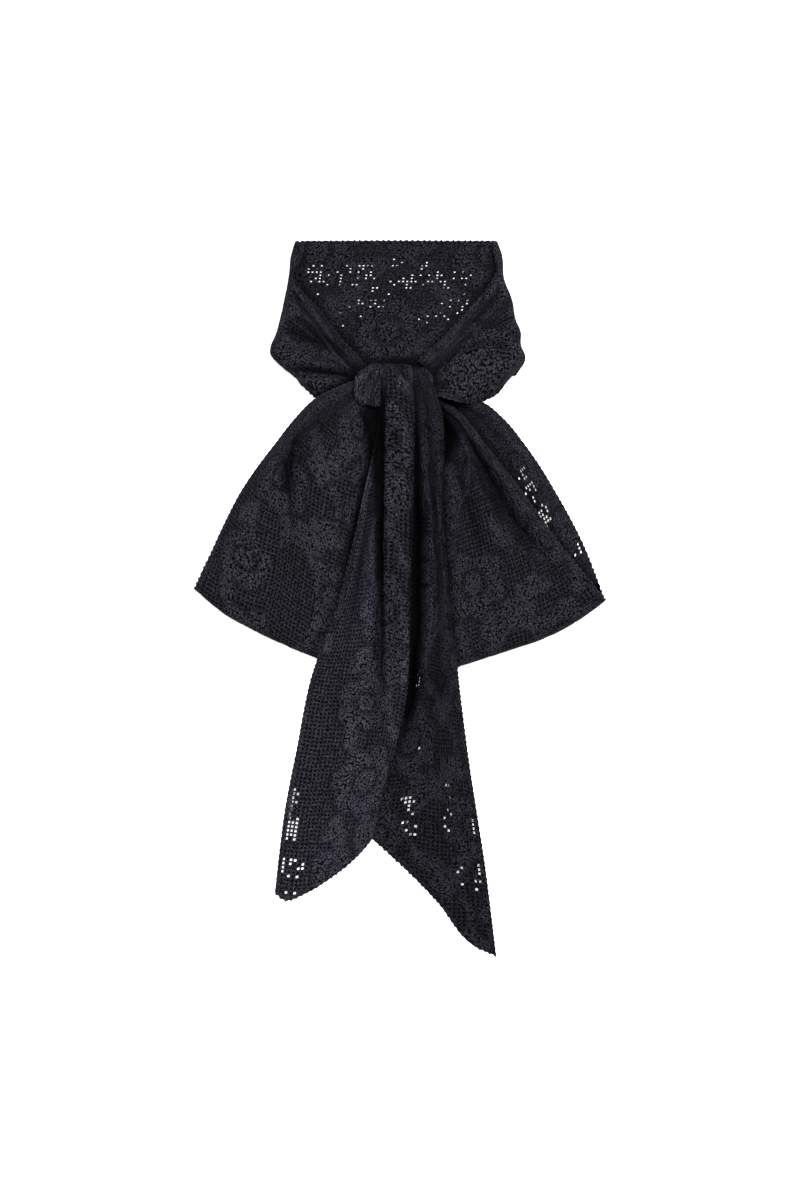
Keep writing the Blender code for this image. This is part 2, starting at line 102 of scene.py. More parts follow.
# Patches where light shows through the meshes, because a single layer lies on the table.
SEE_THROUGH = (
    # x, y, half sizes along x and y, and the share of meshes that are open
    (-72, 296, 11, 7, 0.3),
    (-51, 297, 9, 5, 0.28),
    (-31, 296, 9, 6, 0.3),
    (-74, 287, 12, 7, 0.3),
    (-48, 288, 9, 7, 0.28),
    (-29, 287, 13, 6, 0.3),
    (9, 287, 20, 6, 0.3),
    (-4, 302, 9, 4, 0.3),
    (24, 293, 16, 8, 0.3),
    (48, 288, 18, 9, 0.2),
    (-50, 262, 8, 7, 0.2),
    (-35, 259, 7, 11, 0.2),
    (-20, 264, 10, 8, 0.2),
    (52, 262, 17, 14, 0.26),
    (26, 253, 10, 6, 0.24),
    (-10, 270, 84, 40, 0.06),
    (111, 112, 5, 7, 0.5),
    (117, 94, 6, 12, 0.55),
    (130, 76, 6, 12, 0.5),
    (160, 46, 4, 12, 0.35),
    (-95, -182, 4.5, 14, 1.2),
    (-98, -203, 7, 17, 1.2),
    (-97, -239, 10, 12, 0.4),
    (-99, -267, 9, 4.5, 0.7),
    (16, -66, 3, 14, 0.4),
    (11, -146, 14, 28, 0.09),
    (8, -180, 7, 6, 0.5),
    (11, -200, 9, 12, 0.35),
    (43, -171, 5, 9, 0.3),
    (43, -198, 4, 12, 0.4),
    (51, -242, 5, 6, 0.5),
    (58, -259, 5, 5, 0.4),
    (73, -251, 5, 20, 0.45),
    (66, -204, 4, 9, 0.4),
)

# Stretches that are plain net (-1) or worked all over (over 0), whatever the repeat has there.
PLAIN = (
    # x, y, half sizes along x and y, net or solid
    (-98, 4, 22, 46, -1),
    (-118, 60, 12, 22, -1),
    (-86, -150, 12, 34, -1),
    (66, 66, 14, 30, -1),
    (76, 208, 36, 34, 0.5),
    (-78, 208, 26, 16, 0.6),
)

# How much light is painted on each stretch, as a share: painted shade leaves the knot and the left tail, which lie
# uppermost, lightest, and the stretches lower in the pile or in the shadow of others darker.
PAINTED_STRETCH_LIGHT = {
    "neck_back": 0.46,
    "neck_front_left": 0.57,
    "neck_front_right": 0.64,
    "bow_loop_left": 0.66,
    "bow_loop_right": 0.57,
    "knot": 1.0,
    "tail_right": 0.45,
    "tail_left": 0.93,
}

# Gaps between folds, where little light reaches the cloth, painted darker as painted shade: how far it darkens round
# each line, by what share, and the line's x and y.
GAPS = {
    "tail_left": (
        (6.5, 1.0, ((-20, 188), (-20, 165), (-20, 145), (-21, 125), (-22, 104))),
        (5, 0.8, ((-18, 112), (-18, 80), (-19, 50), (-20, 15))),
        (6, 0.6, ((11, 200), (11, 130), (11, 60), (8, -30))),
        (1.8, 0.5, ((5, 208), (-5, 192), (-12, 177))),
        (1.8, 0.4, ((9, 205), (3, 190), (0, 160), (0, 125))),
        (9, 0.32, ((-4, 222), (-5, 150), (-5, 80), (-6, 0), (-8, -60))),
    ),
    "tail_right": (
        (6, 1.0, ((15, 85), (15, 30), (14, -30), (12, -75), (8, -110))),
        (4, 0.75, ((14, 195), (15, 150), (16, 110), (17, 70))),
    ),
    "bow_loop_right": (
        (9, 1.0, ((36, 164), (42, 156), (46, 147), (43, 138), (38, 122))),
        (8, 0.35, ((62, 136), (78, 108), (99, 68), (124, 34))),
    ),
    "bow_loop_left": (
        (7, 0.55, ((-95, 132), (-101, 112), (-100, 94))),
        (8.5, 1.0, ((-29, 177), (-25, 160), (-23, 142), (-22, 122), (-23, 100))),
    ),
    "knot": (
        (1.6, 0.5, ((-20, 208), (-31, 194), (-34, 177))),
        (1.6, 0.5, ((-12, 207), (-23, 191), (-27, 173))),
    ),
    "neck_front_left": (
        (3.5, 0.6, ((-92, 252), (-63, 230), (-38, 205))),
        (3.5, 0.7, ((-88, 208), (-63, 204), (-39, 202))),
        (3, 0.6, ((-68, 186), (-52, 193), (-37, 200))),
    ),
    "neck_front_right": (
        (3.5, 0.5, ((66, 240), (45, 218), (26, 200))),
        (3, 0.5, ((52, 196), (38, 192), (26, 190))),
    ),
}

# Creases and gathers: how high the cloth stands at either side of each line, how far from it, and the line's x and
# y. Under 0 it is the depth of a hollow.
CREASES = {
    "neck_front_left": (
        (-5, 9, ((-97, 352), (-92, 321), (-90, 290))),
        (2.2, 6, ((-100, 272), (-90, 249), (-74, 234), (-58, 223), (-41, 208))),
        (6, 7, ((-107, 241), (-90, 236), (-70, 228), (-54, 218), (-40, 206))),
        (4, 5, ((-90, 206), (-68, 203), (-42, 200))),
        (1.6, 5, ((-74, 187), (-56, 192), (-43, 197))),
        (1, 3, ((-94, 223), (-68, 216), (-43, 205))),
    ),
    "neck_front_right": (
        (-5, 9, ((90, 352), (86, 321), (88, 292))),
        (1.8, 6, ((91, 277), (70, 253), (50, 232), (29, 205))),
        (2.6, 6, ((103, 250), (81, 235), (56, 220), (32, 198))),
        (1.5, 5, ((107, 226), (88, 225), (63, 214), (36, 193))),
        (2.4, 4, ((58, 229), (50, 220), (40, 210))),
        (2, 4, ((31, 197), (22, 188))),
        (1, 4, ((72, 186), (50, 188), (34, 189))),
        (-6, 9, ((118, 214), (88, 184), (66, 175), (40, 177))),
        (-9, 8, ((82, 183), (71, 177), (61, 176), (50, 177))),
    ),
    "bow_loop_left": (
        (5, 9, ((-87, 162), (-96, 137), (-102, 113), (-101, 97), (-98, 78))),
        (-4, 7, ((-92, 150), (-98, 130), (-102, 110), (-100, 92), (-98, 80))),
        (2.6, 10, ((-105, 108), (-121, 85), (-137, 57), (-153, 30))),
        (5.5, 7, ((-40, 177), (-29, 153), (-26, 135), (-31, 112), (-36, 90), (-41, 54))),
        (2.4, 8, ((-58, 54), (-50, 22), (-43, -10))),
        (1.8, 9, ((-79, 90), (-88, 36), (-97, -9))),
        (0.9, 8, ((-124, 40), (-119, 0), (-124, -27))),
    ),
    "bow_loop_right": (
        (5, 10, ((59, 144), (76, 118), (97, 79), (125, 44), (149, 14))),
        (-4, 9, ((62, 140), (76, 112), (97, 72), (123, 38), (149, 10))),
        (4, 6, ((66, 153), (86, 141), (105, 125), (130, 90), (149, 54))),
        (8, 9, ((40, 168), (42, 152), (42, 141), (39, 125))),
        (-8, 6, ((36, 172), (38, 154), (38, 140), (35, 120))),
        (3.6, 7, ((58, 138), (55, 105), (63, 72), (72, 36))),
        (2, 8, ((70, 22), (83, -9), (90, -36))),
        (1, 9, ((108, 36), (112, 0), (126, -27))),
    ),
    "knot": (
        (0.9, 3, ((-25, 208), (-33, 194), (-34, 176))),
        (0.8, 3, ((-14, 207), (-23, 192), (-25, 173))),
    ),
    "tail_right": (
        (2.6, 5, ((22, 193), (25, 153), (27, 108), (31, 72))),
        (7, 7, ((15, 110), (15, 36), (15, -30), (9, -90), (2, -130))),
        (-8, 5, ((15, 100), (16, 40), (16, -20), (11, -80), (4, -125))),
        (2, 5, ((36, 137), (37, 90), (40, 36))),
        (1.3, 8, ((27, -90), (32, -144), (45, -207), (59, -261))),
        (1, 7, ((16, -135), (27, -198), (45, -252))),
    ),
    "tail_left": (
        (3, 6, ((-17, 157), (-23, 108), (-29, 72), (-34, 36), (-41, -9))),
        (-5, 3, ((-16, 226), (-16.5, 205), (-17, 180), (-18, 152))),
        (-11, 8, ((-19, 200), (-20, 165), (-21, 130), (-24, 95), (-27, 72))),
        (-5, 8, ((9, 185), (9, 96), (7, 0), (3, -70))),
        (-3, 5, ((-19, 185), (-19, 140), (-19, 60), (-21, 0), (-24, -60))),
        (1.2, 9, ((-59, -90), (-70, -144), (-85, -198))),
        (1.4, 8, ((-41, -81), (-45, -144), (-52, -198))),
        (2, 3.5, ((6, 206), (-4, 191), (-11, 177))),
        (1.4, 3.5, ((9, 205), (3, 190), (0, 160), (0, 125))),
        (0.8, 4, ((-11, 205), (-7, 183), (-4, 144))),
    ),
}

# The knot's band from left to right, with the rounded cheek that hangs at its left end.
KNOT = (
    # x, upper y, lower y, height of its top above the table
    (-40.5, 190, 188, 6),
    (-40, 196, 182, 12),
    (-38, 201, 176, 18),
    (-33, 206, 173, 24),
    (-25, 209, 172, 28),
    (-12, 209, 172, 28),
    (4, 208, 173, 28),
    (16, 207, 176, 26),
    (24, 205, 179, 21),
    (28, 201, 183, 14),
    (29, 193, 191, 8),
)

# The rows of every table below are fold lines that run along the strip. The numbers are x, y and the height above
# what lies beneath, in millimetres, at the stations that the columns name.

# The back of the neck loop, from its top edge to its lower edge.
NECK_BACK = (
    # fold line  left  middle  right
    ("top edge", (-89, 322, 0), (-4, 322.2, 0), (84, 322, 0)),
    ("upper third", (-95, 284, 0), (-4, 284, 0), (89, 284, 0)),
    ("lower third", (-100, 246, 0), (-3, 246, 0), (96, 246, 0)),
    ("lower edge", (-105, 210, 0), (-2, 204, 0), (101, 208, 0)),
)

# The left front wrap, from its fold at the side to the knot.
FRONT_LEFT = (
    # fold line  side  collar  outer  middle  inner  root
    ("neck edge", (-94, 321, 4), (-88, 319, 5), (-95, 288, 6), (-74, 261, 6), (-52, 232, 6), (-31, 210, 3)),
    ("edge roll", (-97, 311, 7), (-94, 308, 8), (-96, 281, 9), (-76, 256, 9), (-54, 228, 8), (-31, 208, 3)),
    ("first valley", (-99, 293, 8), (-97, 288, 7), (-92, 273, 4), (-76, 249, 4), (-54, 223, 4), (-32, 206, 2)),
    ("upper panel", (-104, 264, 12), (-100, 262, 13), (-93, 255, 12), (-73, 237, 10), (-53, 216, 7), (-32, 204, 3)),
    ("deep valley", (-110, 240, 9), (-105, 238, 7), (-95, 233, 4), (-72, 220, 2), (-53, 209, 2), (-33, 201, 2)),
    ("side roll", (-116, 221, 12), (-110, 219, 14), (-98, 216, 13), (-71, 209, 9), (-53, 203, 6), (-33, 198, 3)),
    ("low valley", (-106, 209, 6), (-100, 207, 4), (-90, 203, 3), (-67, 199, 3), (-52, 198, 3), (-33, 195, 2)),
    ("lower panel", (-98, 203, 6), (-94, 201, 7), (-86, 196, 7), (-66, 192, 6), (-52, 193, 5), (-33, 192, 2)),
    ("lower edge", (-93, 199, 3), (-90, 195, 3), (-84, 189, 3), (-72, 180, 3), (-53, 187, 3), (-33, 189, 2)),
)

# The right front wrap, which is fuller and lies over the root of the right bow loop.
FRONT_RIGHT = (
    # fold line  side  outer  middle  inner  root
    ("neck edge", (87, 321, 4), (87, 296, 5), (64, 262, 6), (37, 233, 6), (17, 214, 3)),
    ("edge roll", (91, 310, 7), (89, 287, 8), (66, 257, 9), (39, 229, 7), (19, 211, 3)),
    ("first valley", (93, 287, 8), (87, 277, 5), (66, 251, 5), (40, 226, 4), (20, 209, 2)),
    ("upper panel", (100, 269, 13), (90, 262, 12), (66, 245, 10), (41, 222, 6), (21, 207, 3)),
    ("second valley", (103, 252, 9), (91, 248, 7), (66, 239, 6), (41, 219, 5), (22, 205, 2)),
    ("middle panel", (108, 239, 14), (93, 237, 13), (66, 233, 9), (42, 216, 6), (23, 202, 3)),
    ("third valley", (108, 228, 10), (92, 227, 6), (65, 226, 4), (42, 212, 4), (24, 199, 2)),
    ("lower panel", (112, 217, 13), (95, 208, 13), (66, 204, 11), (44, 201, 8), (26, 194, 3)),
    ("lower edge", (104, 202, 4), (88, 186, 4), (66, 177, 4), (46, 179, 4), (30, 184, 3)),
)

# The under layer of the left bow loop, from its outer edge to its inner edge.
LOOP_LEFT_UNDER = (
    # fold line  root  shoulder  upper  middle  low  hem
    ("outer edge", (-30, 197, 0), (-72, 175, 0), (-108, 136, 0), (-139, 94, 0), (-165, 42, 0), (-184, 9, 0)),
    ("outer sixth", (-28, 195, 0), (-66, 171, 0), (-98, 131, 0), (-124, 88, 0), (-147, 32, 0), (-160, -11, 0)),
    ("outer third", (-26, 193, 0), (-58, 167, 0), (-84, 127, 0), (-104, 82, 0), (-122, 20, 0), (-128, -29, 0)),
    ("middle", (-24, 191, 0), (-48, 163, 0), (-66, 123, 0), (-80, 76, 0), (-94, 8, 0), (-100, -42, 0)),
    ("inner third", (-22, 189, 0), (-38, 160, 0), (-48, 120, 0), (-56, 70, 0), (-68, 0, 0), (-74, -53, 0)),
    ("inner sixth", (-20, 187, 0), (-27, 158, 0), (-30, 117, 0), (-36, 66, 0), (-46, -4, 0), (-52, -62, 0)),
    ("inner edge", (-17, 185, 0), (-14, 156, 0), (-11, 114, 0), (-15, 62, 0), (-24, -8, 0), (-34, -67, 0)),
)

# The upper layer of the left bow loop, with the same fold lines in the same order.
LOOP_LEFT_UPPER = (
    # fold line  root  shoulder  upper  middle  low  hem
    ("outer edge", (-30, 199, 2), (-77, 178, 4), (-111, 140, 5), (-142, 97, 5), (-168, 44, 5), (-184, 9, 6)),
    ("outer roll", (-28, 197, 3), (-71, 173, 8), (-106, 134, 10), (-133, 91, 8), (-153, 34, 7), (-160, -11, 6)),
    ("long valley", (-26, 194, 3), (-64, 167, 3), (-100, 127, 3), (-106, 84, 4), (-113, 21, 5), (-128, -29, 6)),
    ("broad panel", (-24, 192, 3), (-52, 164, 13), (-72, 123, 18), (-80, 76, 16), (-90, 10, 11), (-100, -42, 7)),
    ("inner panel", (-22, 190, 3), (-38, 161, 13), (-41, 120, 16), (-51, 70, 14), (-64, 3, 9), (-74, -53, 7)),
    ("inner fall", (-20, 188, 3), (-28, 158, 4), (-28, 117, 4), (-37, 66, 4), (-48, -2, 4), (-52, -62, 6)),
    ("inner edge", (-17, 186, 2), (-16, 156, 1), (-13, 114, 1), (-18, 62, 1), (-28, -7, 2), (-34, -67, 5)),
)

# The under layer of the right bow loop, from its inner edge to its outer edge, which reaches past the upper layer.
LOOP_RIGHT_UNDER = (
    # fold line  root  shoulder  upper  middle  low  hem
    ("inner edge", (6, 178, 0), (11, 158, 0), (11, 128, 0), (13, 84, 0), (18, 18, 0), (26, -67, 0)),
    ("inner sixth", (10, 179, 0), (28, 161, 0), (34, 131, 0), (40, 86, 0), (47, 21, 0), (52, -60, 0)),
    ("inner third", (14, 180, 0), (40, 164, 0), (54, 133, 0), (66, 88, 0), (75, 25, 0), (77, -51, 0)),
    ("middle", (18, 181, 0), (50, 168, 0), (72, 136, 0), (90, 91, 0), (102, 30, 0), (104, -42, 0)),
    ("sunk strip", (22, 182, 0), (60, 171, 0), (90, 138, 0), (113, 94, 0), (130, 36, 0), (134, -31, 0)),
    ("outer band", (26, 183, 1), (68, 174, 6), (103, 140, 7), (130, 97, 5), (151, 43, 3), (162, -17, 0)),
    ("outer edge", (30, 184, 1), (74, 177, 3), (111, 140, 3), (139, 97, 2), (165, 48, 1), (184, -1, 0)),
)

# The upper layer of the right bow loop.
LOOP_RIGHT_UPPER = (
    # fold line  root  shoulder  upper  middle  low  hem
    ("inner edge", (6, 178, 2), (11, 158, 1), (11, 128, 1), (13, 84, 1), (18, 18, 2), (26, -67, 5)),
    ("inner panel", (9, 179, 3), (32, 158, 6), (40, 128, 9), (43, 84, 11), (49, 19, 10), (52, -60, 7)),
    ("first valley", (12, 180, 2), (38, 160, 3), (53, 128, 4), (56, 84, 5), (66, 21, 7), (77, -52, 6)),
    ("broad panel", (15, 181, 3), (42, 163, 9), (62, 129, 13), (78, 83, 14), (92, 23, 11), (104, -43.5, 7)),
    ("outer valley", (18, 182, 3), (44, 165, 5), (69, 130, 5), (94, 88, 5), (118, 31, 5), (134, -32.5, 6)),
    ("edge roll", (21, 183, 3), (46, 168, 10), (73, 132, 12), (102, 94, 10), (136, 42, 8), (162, -17, 6)),
    ("outer edge", (24, 184, 2), (49, 171, 4), (78, 136, 4), (107, 99, 3), (144, 48, 3), (184, -1, 6)),
)

KNOT_SIDES = 18
LEAST_LUMP = 4.0  # thinnest that the knot gets, at its two ends
KNOT_REACH = 4  # how far round each of its points the knot's underside clears the cloth beneath
KNOT_EASE = 2  # over what distance its underside follows that cloth

# The left tail, which comes over the knot and lies uppermost, from its left edge to its right edge.
TAIL_LEFT = (
    # fold line  tuck  crown  waist  bow  rim
    ("outer edge", (-17, 207, -15), (-17, 200, 0), (-18, 174, 0), (-32, 93, 1), (-57, -8, 1)),
    ("thin ridge", (-16, 208, -15), (-16, 201, 0), (-17, 174, 0), (-27, 93, 6), (-49, -7, 8)),
    ("thin valley", (-15, 209, -15), (-15, 202, 0), (-16, 174, 0), (-22, 93, 1), (-40, -6, 3)),
    ("panel", (-14, 210, -15), (-14, 202, 0), (-14.5, 174, 0), (-19, 94, 2), (-28, -5, 7)),
    ("valley", (-13, 210, -15), (-13, 202, 0), (-13, 174, 0), (-15.5, 94, 1), (-17, -4, 2)),
    ("column left", (-12, 210, -15), (-11, 202, 2), (-12, 174, 8), (-12, 95, 21), (-12, -4, 18)),
    ("column", (-3, 210, -15), (-3, 202, 2), (-1, 174, 6), (-1, 96, 18), (-2, -5, 16)),
    ("column right", (5, 209, -15), (6, 201, 1), (9, 174, 2), (9, 96, 11), (6, -5, 10)),
    ("inner edge", (9, 208, -15), (10, 200, 0), (12, 174, 0), (12, 96, 1), (9, -5, 1)),
)

# The same fold lines of the left tail, from below the bow to its slanted hem.
TAIL_LEFT_LOW = (
    # fold line  foot  fall  low  hem
    ("outer edge", (-81, -77, 0), (-91, -128, 0), (-103, -190, 0), (-112, -264, 0)),
    ("thin ridge", (-70, -77, 6), (-79, -129, 5), (-91, -190, 3), (-104, -270, 0)),
    ("thin valley", (-55, -77, 2), (-62, -130, 1), (-74, -189, 1), (-85, -264, 0)),
    ("panel", (-37, -77, 7), (-45, -131, 6), (-57, -188, 4), (-65, -252, 0)),
    ("valley", (-18, -77, 2), (-27, -132, 1), (-41, -187, 1), (-50, -241, 0)),
    ("column left", (-12, -77, 8), (-18, -133, 4), (-33, -185, 2), (-42, -234, 0)),
    ("column", (-5, -78, 10), (-12, -133, 6), (-27, -184, 3), (-36, -228, 0)),
    ("column right", (3, -79, 7), (-7, -134, 4), (-22, -182, 2), (-30, -221, 0)),
    ("inner edge", (6, -80, 0), (-4, -134, 0), (-18, -181, 0), (-25, -214, 0)),
)

# The right tail, which comes out over the knot's right side, from its inner edge to its outer edge.
TAIL_RIGHT = (
    # fold line  tuck  crown  waist  bow  rim
    ("inner edge", (4, 207, -15), (4, 199, 0), (8, 174, 0), (10, 93, 1), (6, -25, 1)),
    ("sunk strip", (7, 207, -15), (8, 199, 0), (11, 174, 1), (15, 93, 1), (13, -25, 1)),
    ("left ridge", (10, 207, -15), (12, 199, 2), (15, 174, 3), (26, 93, 11), (28, -25, 10)),
    ("valley", (15, 206, -13), (17, 198, 0), (23, 174, 1), (30, 93, 5), (36, -25, 5)),
    ("right ridge", (20, 204, -10), (23, 197, 2), (31, 174, 3), (34, 93, 11), (42, -25, 8)),
    ("outer edge", (23, 202, -8), (27, 195, 0), (35, 174, 0), (38, 93, 1), (47, -25, 1)),
)

# The same fold lines of the right tail, from below the bow to its slanted hem.
TAIL_RIGHT_LOW = (
    # fold line  foot  fall  low  hem
    ("inner edge", (-6, -84, 0), (-16, -132, 0), (-30, -172, 0), (-38, -203, 0)),
    ("sunk strip", (7, -85, 1), (0, -134, 1), (-11, -182, 1), (-18, -221, 0)),
    ("left ridge", (22, -86, 7), (19, -137, 4), (13, -200, 3), (9, -246, 0)),
    ("valley", (34, -87, 3), (34, -140, 1), (36, -216, 1), (34, -272, 0)),
    ("right ridge", (46, -88, 6), (51, -144, 5), (60, -232, 4), (66, -311, 0)),
    ("outer edge", (54, -88, 0), (61.5, -146, 0), (76, -240, 0), (86, -320, 0)),
)

TURN_SEAM = 7.0  # how far the front wraps reach under themselves, to their seams with the back
TURN_SHARE = 0.5  # radius of a turned edge, as a share of its height


def net_of(*tables):
    """The tables, one after another, as an array: stations, fold lines, then x, y and height."""
    nets = [np.array([row[1:] for row in table], float).transpose(1, 0, 2) for table in tables]
    return np.concatenate(nets)


def smooth_at(points, at):
    """The smooth curves through the points along the first axis, read at the places at, which count the points.

    Between two neighbours the curve is a cubic whose slopes at its ends allow for the uneven spacing of the points.
    at is one list of places for all curves, or an array with a column of its own for each curve.
    """
    step = np.diff(points, axis=0)
    length = np.linalg.norm(step, axis=-1, keepdims=True) + 1e-6
    pace = step / length
    slope = (pace[:-1] * length[1:] + pace[1:] * length[:-1]) / (length[:-1] + length[1:])
    slope = np.concatenate([pace[:1], slope, pace[-1:]])
    at = at.reshape(at.shape + (1,) * (points.ndim - at.ndim))
    low = np.clip(at.astype(int), 0, len(points) - 2)
    share = at - low
    start, move, reach, leaving = [np.take_along_axis(field, low, 0) for field in (points, step, length, slope)]
    arriving = np.take_along_axis(slope, low + 1, 0)
    blend = share**2 * (3 - 2 * share)
    early = share * (1 - share) ** 2 * reach * leaving
    late = share**2 * (1 - share) * reach * arriving
    return start + blend * move + early - late


def unit(vectors):
    return vectors / (np.linalg.norm(vectors, axis=-1, keepdims=True) + 1e-9)


def run_of(points):
    """The length of the way from the first point to each one, along the first axis."""
    run = np.cumsum(np.linalg.norm(np.diff(points, axis=0), axis=-1), axis=0)
    return np.concatenate([0 * run[:1], run])


def through(points, per_span):
    return smooth_at(points, np.arange((len(points) - 1) * per_span + 1) / per_span)


def loft(net, along=2, across=3):
    """A smooth surface through the net, with along and across steps between its stations and fold lines."""
    grid = through(through(net, along).transpose(1, 0, 2), across).transpose(1, 0, 2)
    grid[..., 2] = np.maximum(grid[..., 2], min(0, net[..., 2].min()))
    return grid


def normals_of(grid):
    """Unit normals of a grid of points, from the differences between its neighbours."""
    return unit(np.cross(np.gradient(grid, axis=0), np.gradient(grid, axis=1)))


def steps_of(grid):
    """How many samples each mesh edge needs along both axes, so that none skips a point of the table."""
    return [int(np.ceil(np.abs(np.diff(grid[..., :2], axis=axis)).max() / CELL)) for axis in (0, 1)]


def refined(grid, steps):
    """The grid with that many times the points along each axis, by straight lines between its points."""
    for axis, times in enumerate(steps):
        grid = np.moveaxis(grid, axis, 0)
        at = np.arange((len(grid) - 1) * times + 1) / times
        low = np.minimum(at.astype(int), len(grid) - 2)
        share = (at - low).reshape(-1, *[1] * (grid.ndim - 1))
        grid = np.moveaxis(grid[low] * (1 - share) + grid[low + 1] * share, 0, axis)
    return grid


def faces_of(grid, steps):
    """Both faces of a wall round the grid, finely sampled."""
    push = normals_of(grid) * WALL / 2
    return np.stack([refined(grid + push, steps), refined(grid - push, steps)])


def spread(high, reach, pick):
    """The highest or the mean value, as pick says, in a square round each point."""
    for axis in (0, 1):
        high = pick([np.roll(high, shift, axis) for shift in range(-reach, reach + 1)], axis=0)
    return high


class Pile:
    """The height of the cloth laid so far over each point of the table, with the gap above it."""

    def __init__(self):
        self.top = np.zeros([int(2 * half / CELL) + 1 for half in TABLE_HALF])

    def cells(self, points):
        x = np.rint((points[..., 0] + TABLE_HALF[0]) / CELL).astype(int)
        y = np.rint((points[..., 1] + TABLE_HALF[1]) / CELL).astype(int)
        return x, y

    def add(self, points):
        np.maximum.at(self.top, self.cells(points), points[..., 2] + GAP)

    def copy(self):
        other = Pile()
        other.top = self.top.copy()
        return other

    def eased(self):
        """The heights, held past every edge by DRAPE_REACH and let down over DRAPE_EASE."""
        return spread(spread(self.top, DRAPE_REACH + DRAPE_EASE, np.max), DRAPE_EASE, np.mean)


def corner_lift(short, steps):
    """For each point of the coarse grid, the largest shortfall in the faces that meet there."""
    for axis, times in enumerate(steps):
        short = np.moveaxis(short, axis, 0)
        padded = np.pad(short, [(times, times), (0, 0)])
        short = np.max([padded[at : at + len(short)] for at in range(2 * times + 1)], axis=0)[::times]
        short = np.moveaxis(short, 0, axis)
    return short


def laid(grid, pile, layer=None, under=None):
    """The grid with its heights counted from the table: each point stands on the pile, and clears it.

    Where a piece is doubled, layer runs from 0 on its under layer to 1 on its upper one, and under is the pile that
    the under layer lies on.
    """
    layer = np.ones(grid.shape[:2]) if layer is None else layer
    under = pile if under is None else under
    cells = pile.cells(grid)
    out = grid.copy()
    out[..., 2] += (1 - layer) * under.eased()[cells] + layer * pile.eased()[cells] + WALL / 2
    steps = steps_of(grid)
    upper = refined(layer[..., None], steps)[..., 0] > 0.5
    for _ in range(SETTLE_ROUNDS):
        face = faces_of(out, steps)
        cells = pile.cells(face)
        floor = np.where(upper, pile.top[cells], under.top[cells])
        short = np.maximum(floor - face[..., 2], 0).max(axis=0)
        if short.max() < SHORT_ENOUGH:
            break
        out[..., 2] += corner_lift(short, steps)
    return out


def turned_in(edge, before, inset):
    """Points short of the edge by inset, on the way back to the station before it."""
    way = before[:, :2] - edge[:, :2]
    out = edge.copy()
    out[:, :2] += way / np.linalg.norm(way, axis=1, keepdims=True) * inset[:, None]
    return out


def with_layer(grid, layer):
    """The grid, and the layer that each of its points belongs to, from the layers of the net's stations."""
    steps = np.interp(np.linspace(0, len(layer) - 1, len(grid)), range(len(layer)), layer)
    return grid, np.repeat(steps[:, None], grid.shape[1], axis=1)


def doubled(under_net, upper_net):
    """(surface, layer) of cloth that runs out along the under net, turns over at its hem and comes back above."""
    height = upper_net[-1, :, 2]
    hem = upper_net[-1].copy()
    hem[:, 2] = height / 2
    under_net[-1] = turned_in(under_net[-1], under_net[-2], height * TURN_SHARE)
    upper_net[-1] = turned_in(upper_net[-1], upper_net[-2], height * TURN_SHARE)
    net = np.concatenate([under_net, hem[None], upper_net[::-1]])
    return with_layer(loft(net), [*[0] * len(under_net), 0.5, *[1] * len(upper_net)])


def wrapped(net):
    """(surface, layer) of a front wrap: from its seam on the table, out to the side, over and in to the knot."""
    side = net[0]
    inward = -np.sign(side[:, :1]) * np.array([1.0, 0.0])
    turn = side[:, 2:] * TURN_SHARE
    seam = np.concatenate([side[:, :2] + inward * TURN_SEAM, 0 * turn], axis=1)
    low = np.concatenate([side[:, :2] + inward * turn / 2, 0 * turn], axis=1)
    middle = np.concatenate([side[:, :2], side[:, 2:] / 2], axis=1)
    high = np.concatenate([side[:, :2] + inward * turn, side[:, 2:]], axis=1)
    return with_layer(loft(np.concatenate([[seam, low, middle, high], net[1:]])), [0, 0, 0.5, *[1] * len(net)])


def lay_doubled(grid, layer, pile):
    """A doubled piece laid on the pile, its under layer first."""
    below = laid(grid, pile)[: int((layer[:, 0] < 0.4).sum())]
    both = pile.copy()
    both.add(faces_of(below, steps_of(below)))
    return laid(grid, both, layer, pile)


def knot_rings(pile):
    """Rings round the knot from left to right, rounded above, with an underside that lies on the cloth beneath."""
    rows = through(np.array(KNOT, float), 2)
    angle = np.linspace(0, 2 * np.pi, KNOT_SIDES, endpoint=False)
    x, high, low, top = rows.T[..., None]
    y = (high + low) / 2 + (high - low) / 2 * np.cos(angle)
    rings = np.stack([np.broadcast_to(x, y.shape), y, np.zeros_like(y)], axis=-1)
    base = spread(spread(pile.top, KNOT_REACH, np.max), KNOT_EASE, np.mean)[pile.cells(rings)]
    rise = np.sqrt(np.abs(np.sin(angle)))
    crown = np.maximum(top, base + LEAST_LUMP)
    rings[..., 2] = np.where(np.sin(angle) > 1e-9, base + (crown - base) * rise, base)
    return rings


# The flowers and leaves of one repeat of the lace, in millimetres of cloth: along the strip, across it, size and
# turn in degrees. A flower's size is its radius, a leaf's its length, and a leaf starts at its stalk.
REPEAT_ALONG = 156.0
REPEAT_ACROSS = 172.0
FLOWERS = (
    # along, across, radius, petals, turn
    (36, 50, 36, 7, 10),
    (110, 120, 34, 6, 40),
    (28, 138, 25, 5, 0),
    (120, 34, 27, 5, 25),
)
LEAVES = (
    # along, across, length, width, turn
    (62, 76, 36, 26, 35),
    (66, 66, 38, 25, -12),
    (56, 90, 34, 26, 80),
    (84, 140, 33, 18, 150),
    (82, 102, 34, 17, 200),
    (134, 110, 30, 17, -30),
    (132, 132, 32, 18, 25),
    (8, 78, 33, 18, 100),
    (10, 28, 30, 16, 190),
    (70, 30, 34, 18, 10),
    (92, 18, 30, 16, 150),
    (46, 150, 30, 16, 20),
    (140, 62, 32, 18, 70),
    (150, 84, 30, 16, 20),
    (6, 118, 28, 16, 150),
)
STEM_MIDDLE = 85
STEM_SWING = 26.0
STEM_HALF = 2.4
FLOWER_RING = 0.36  # the open ring round a flower's heart, as a share of the flower's radius
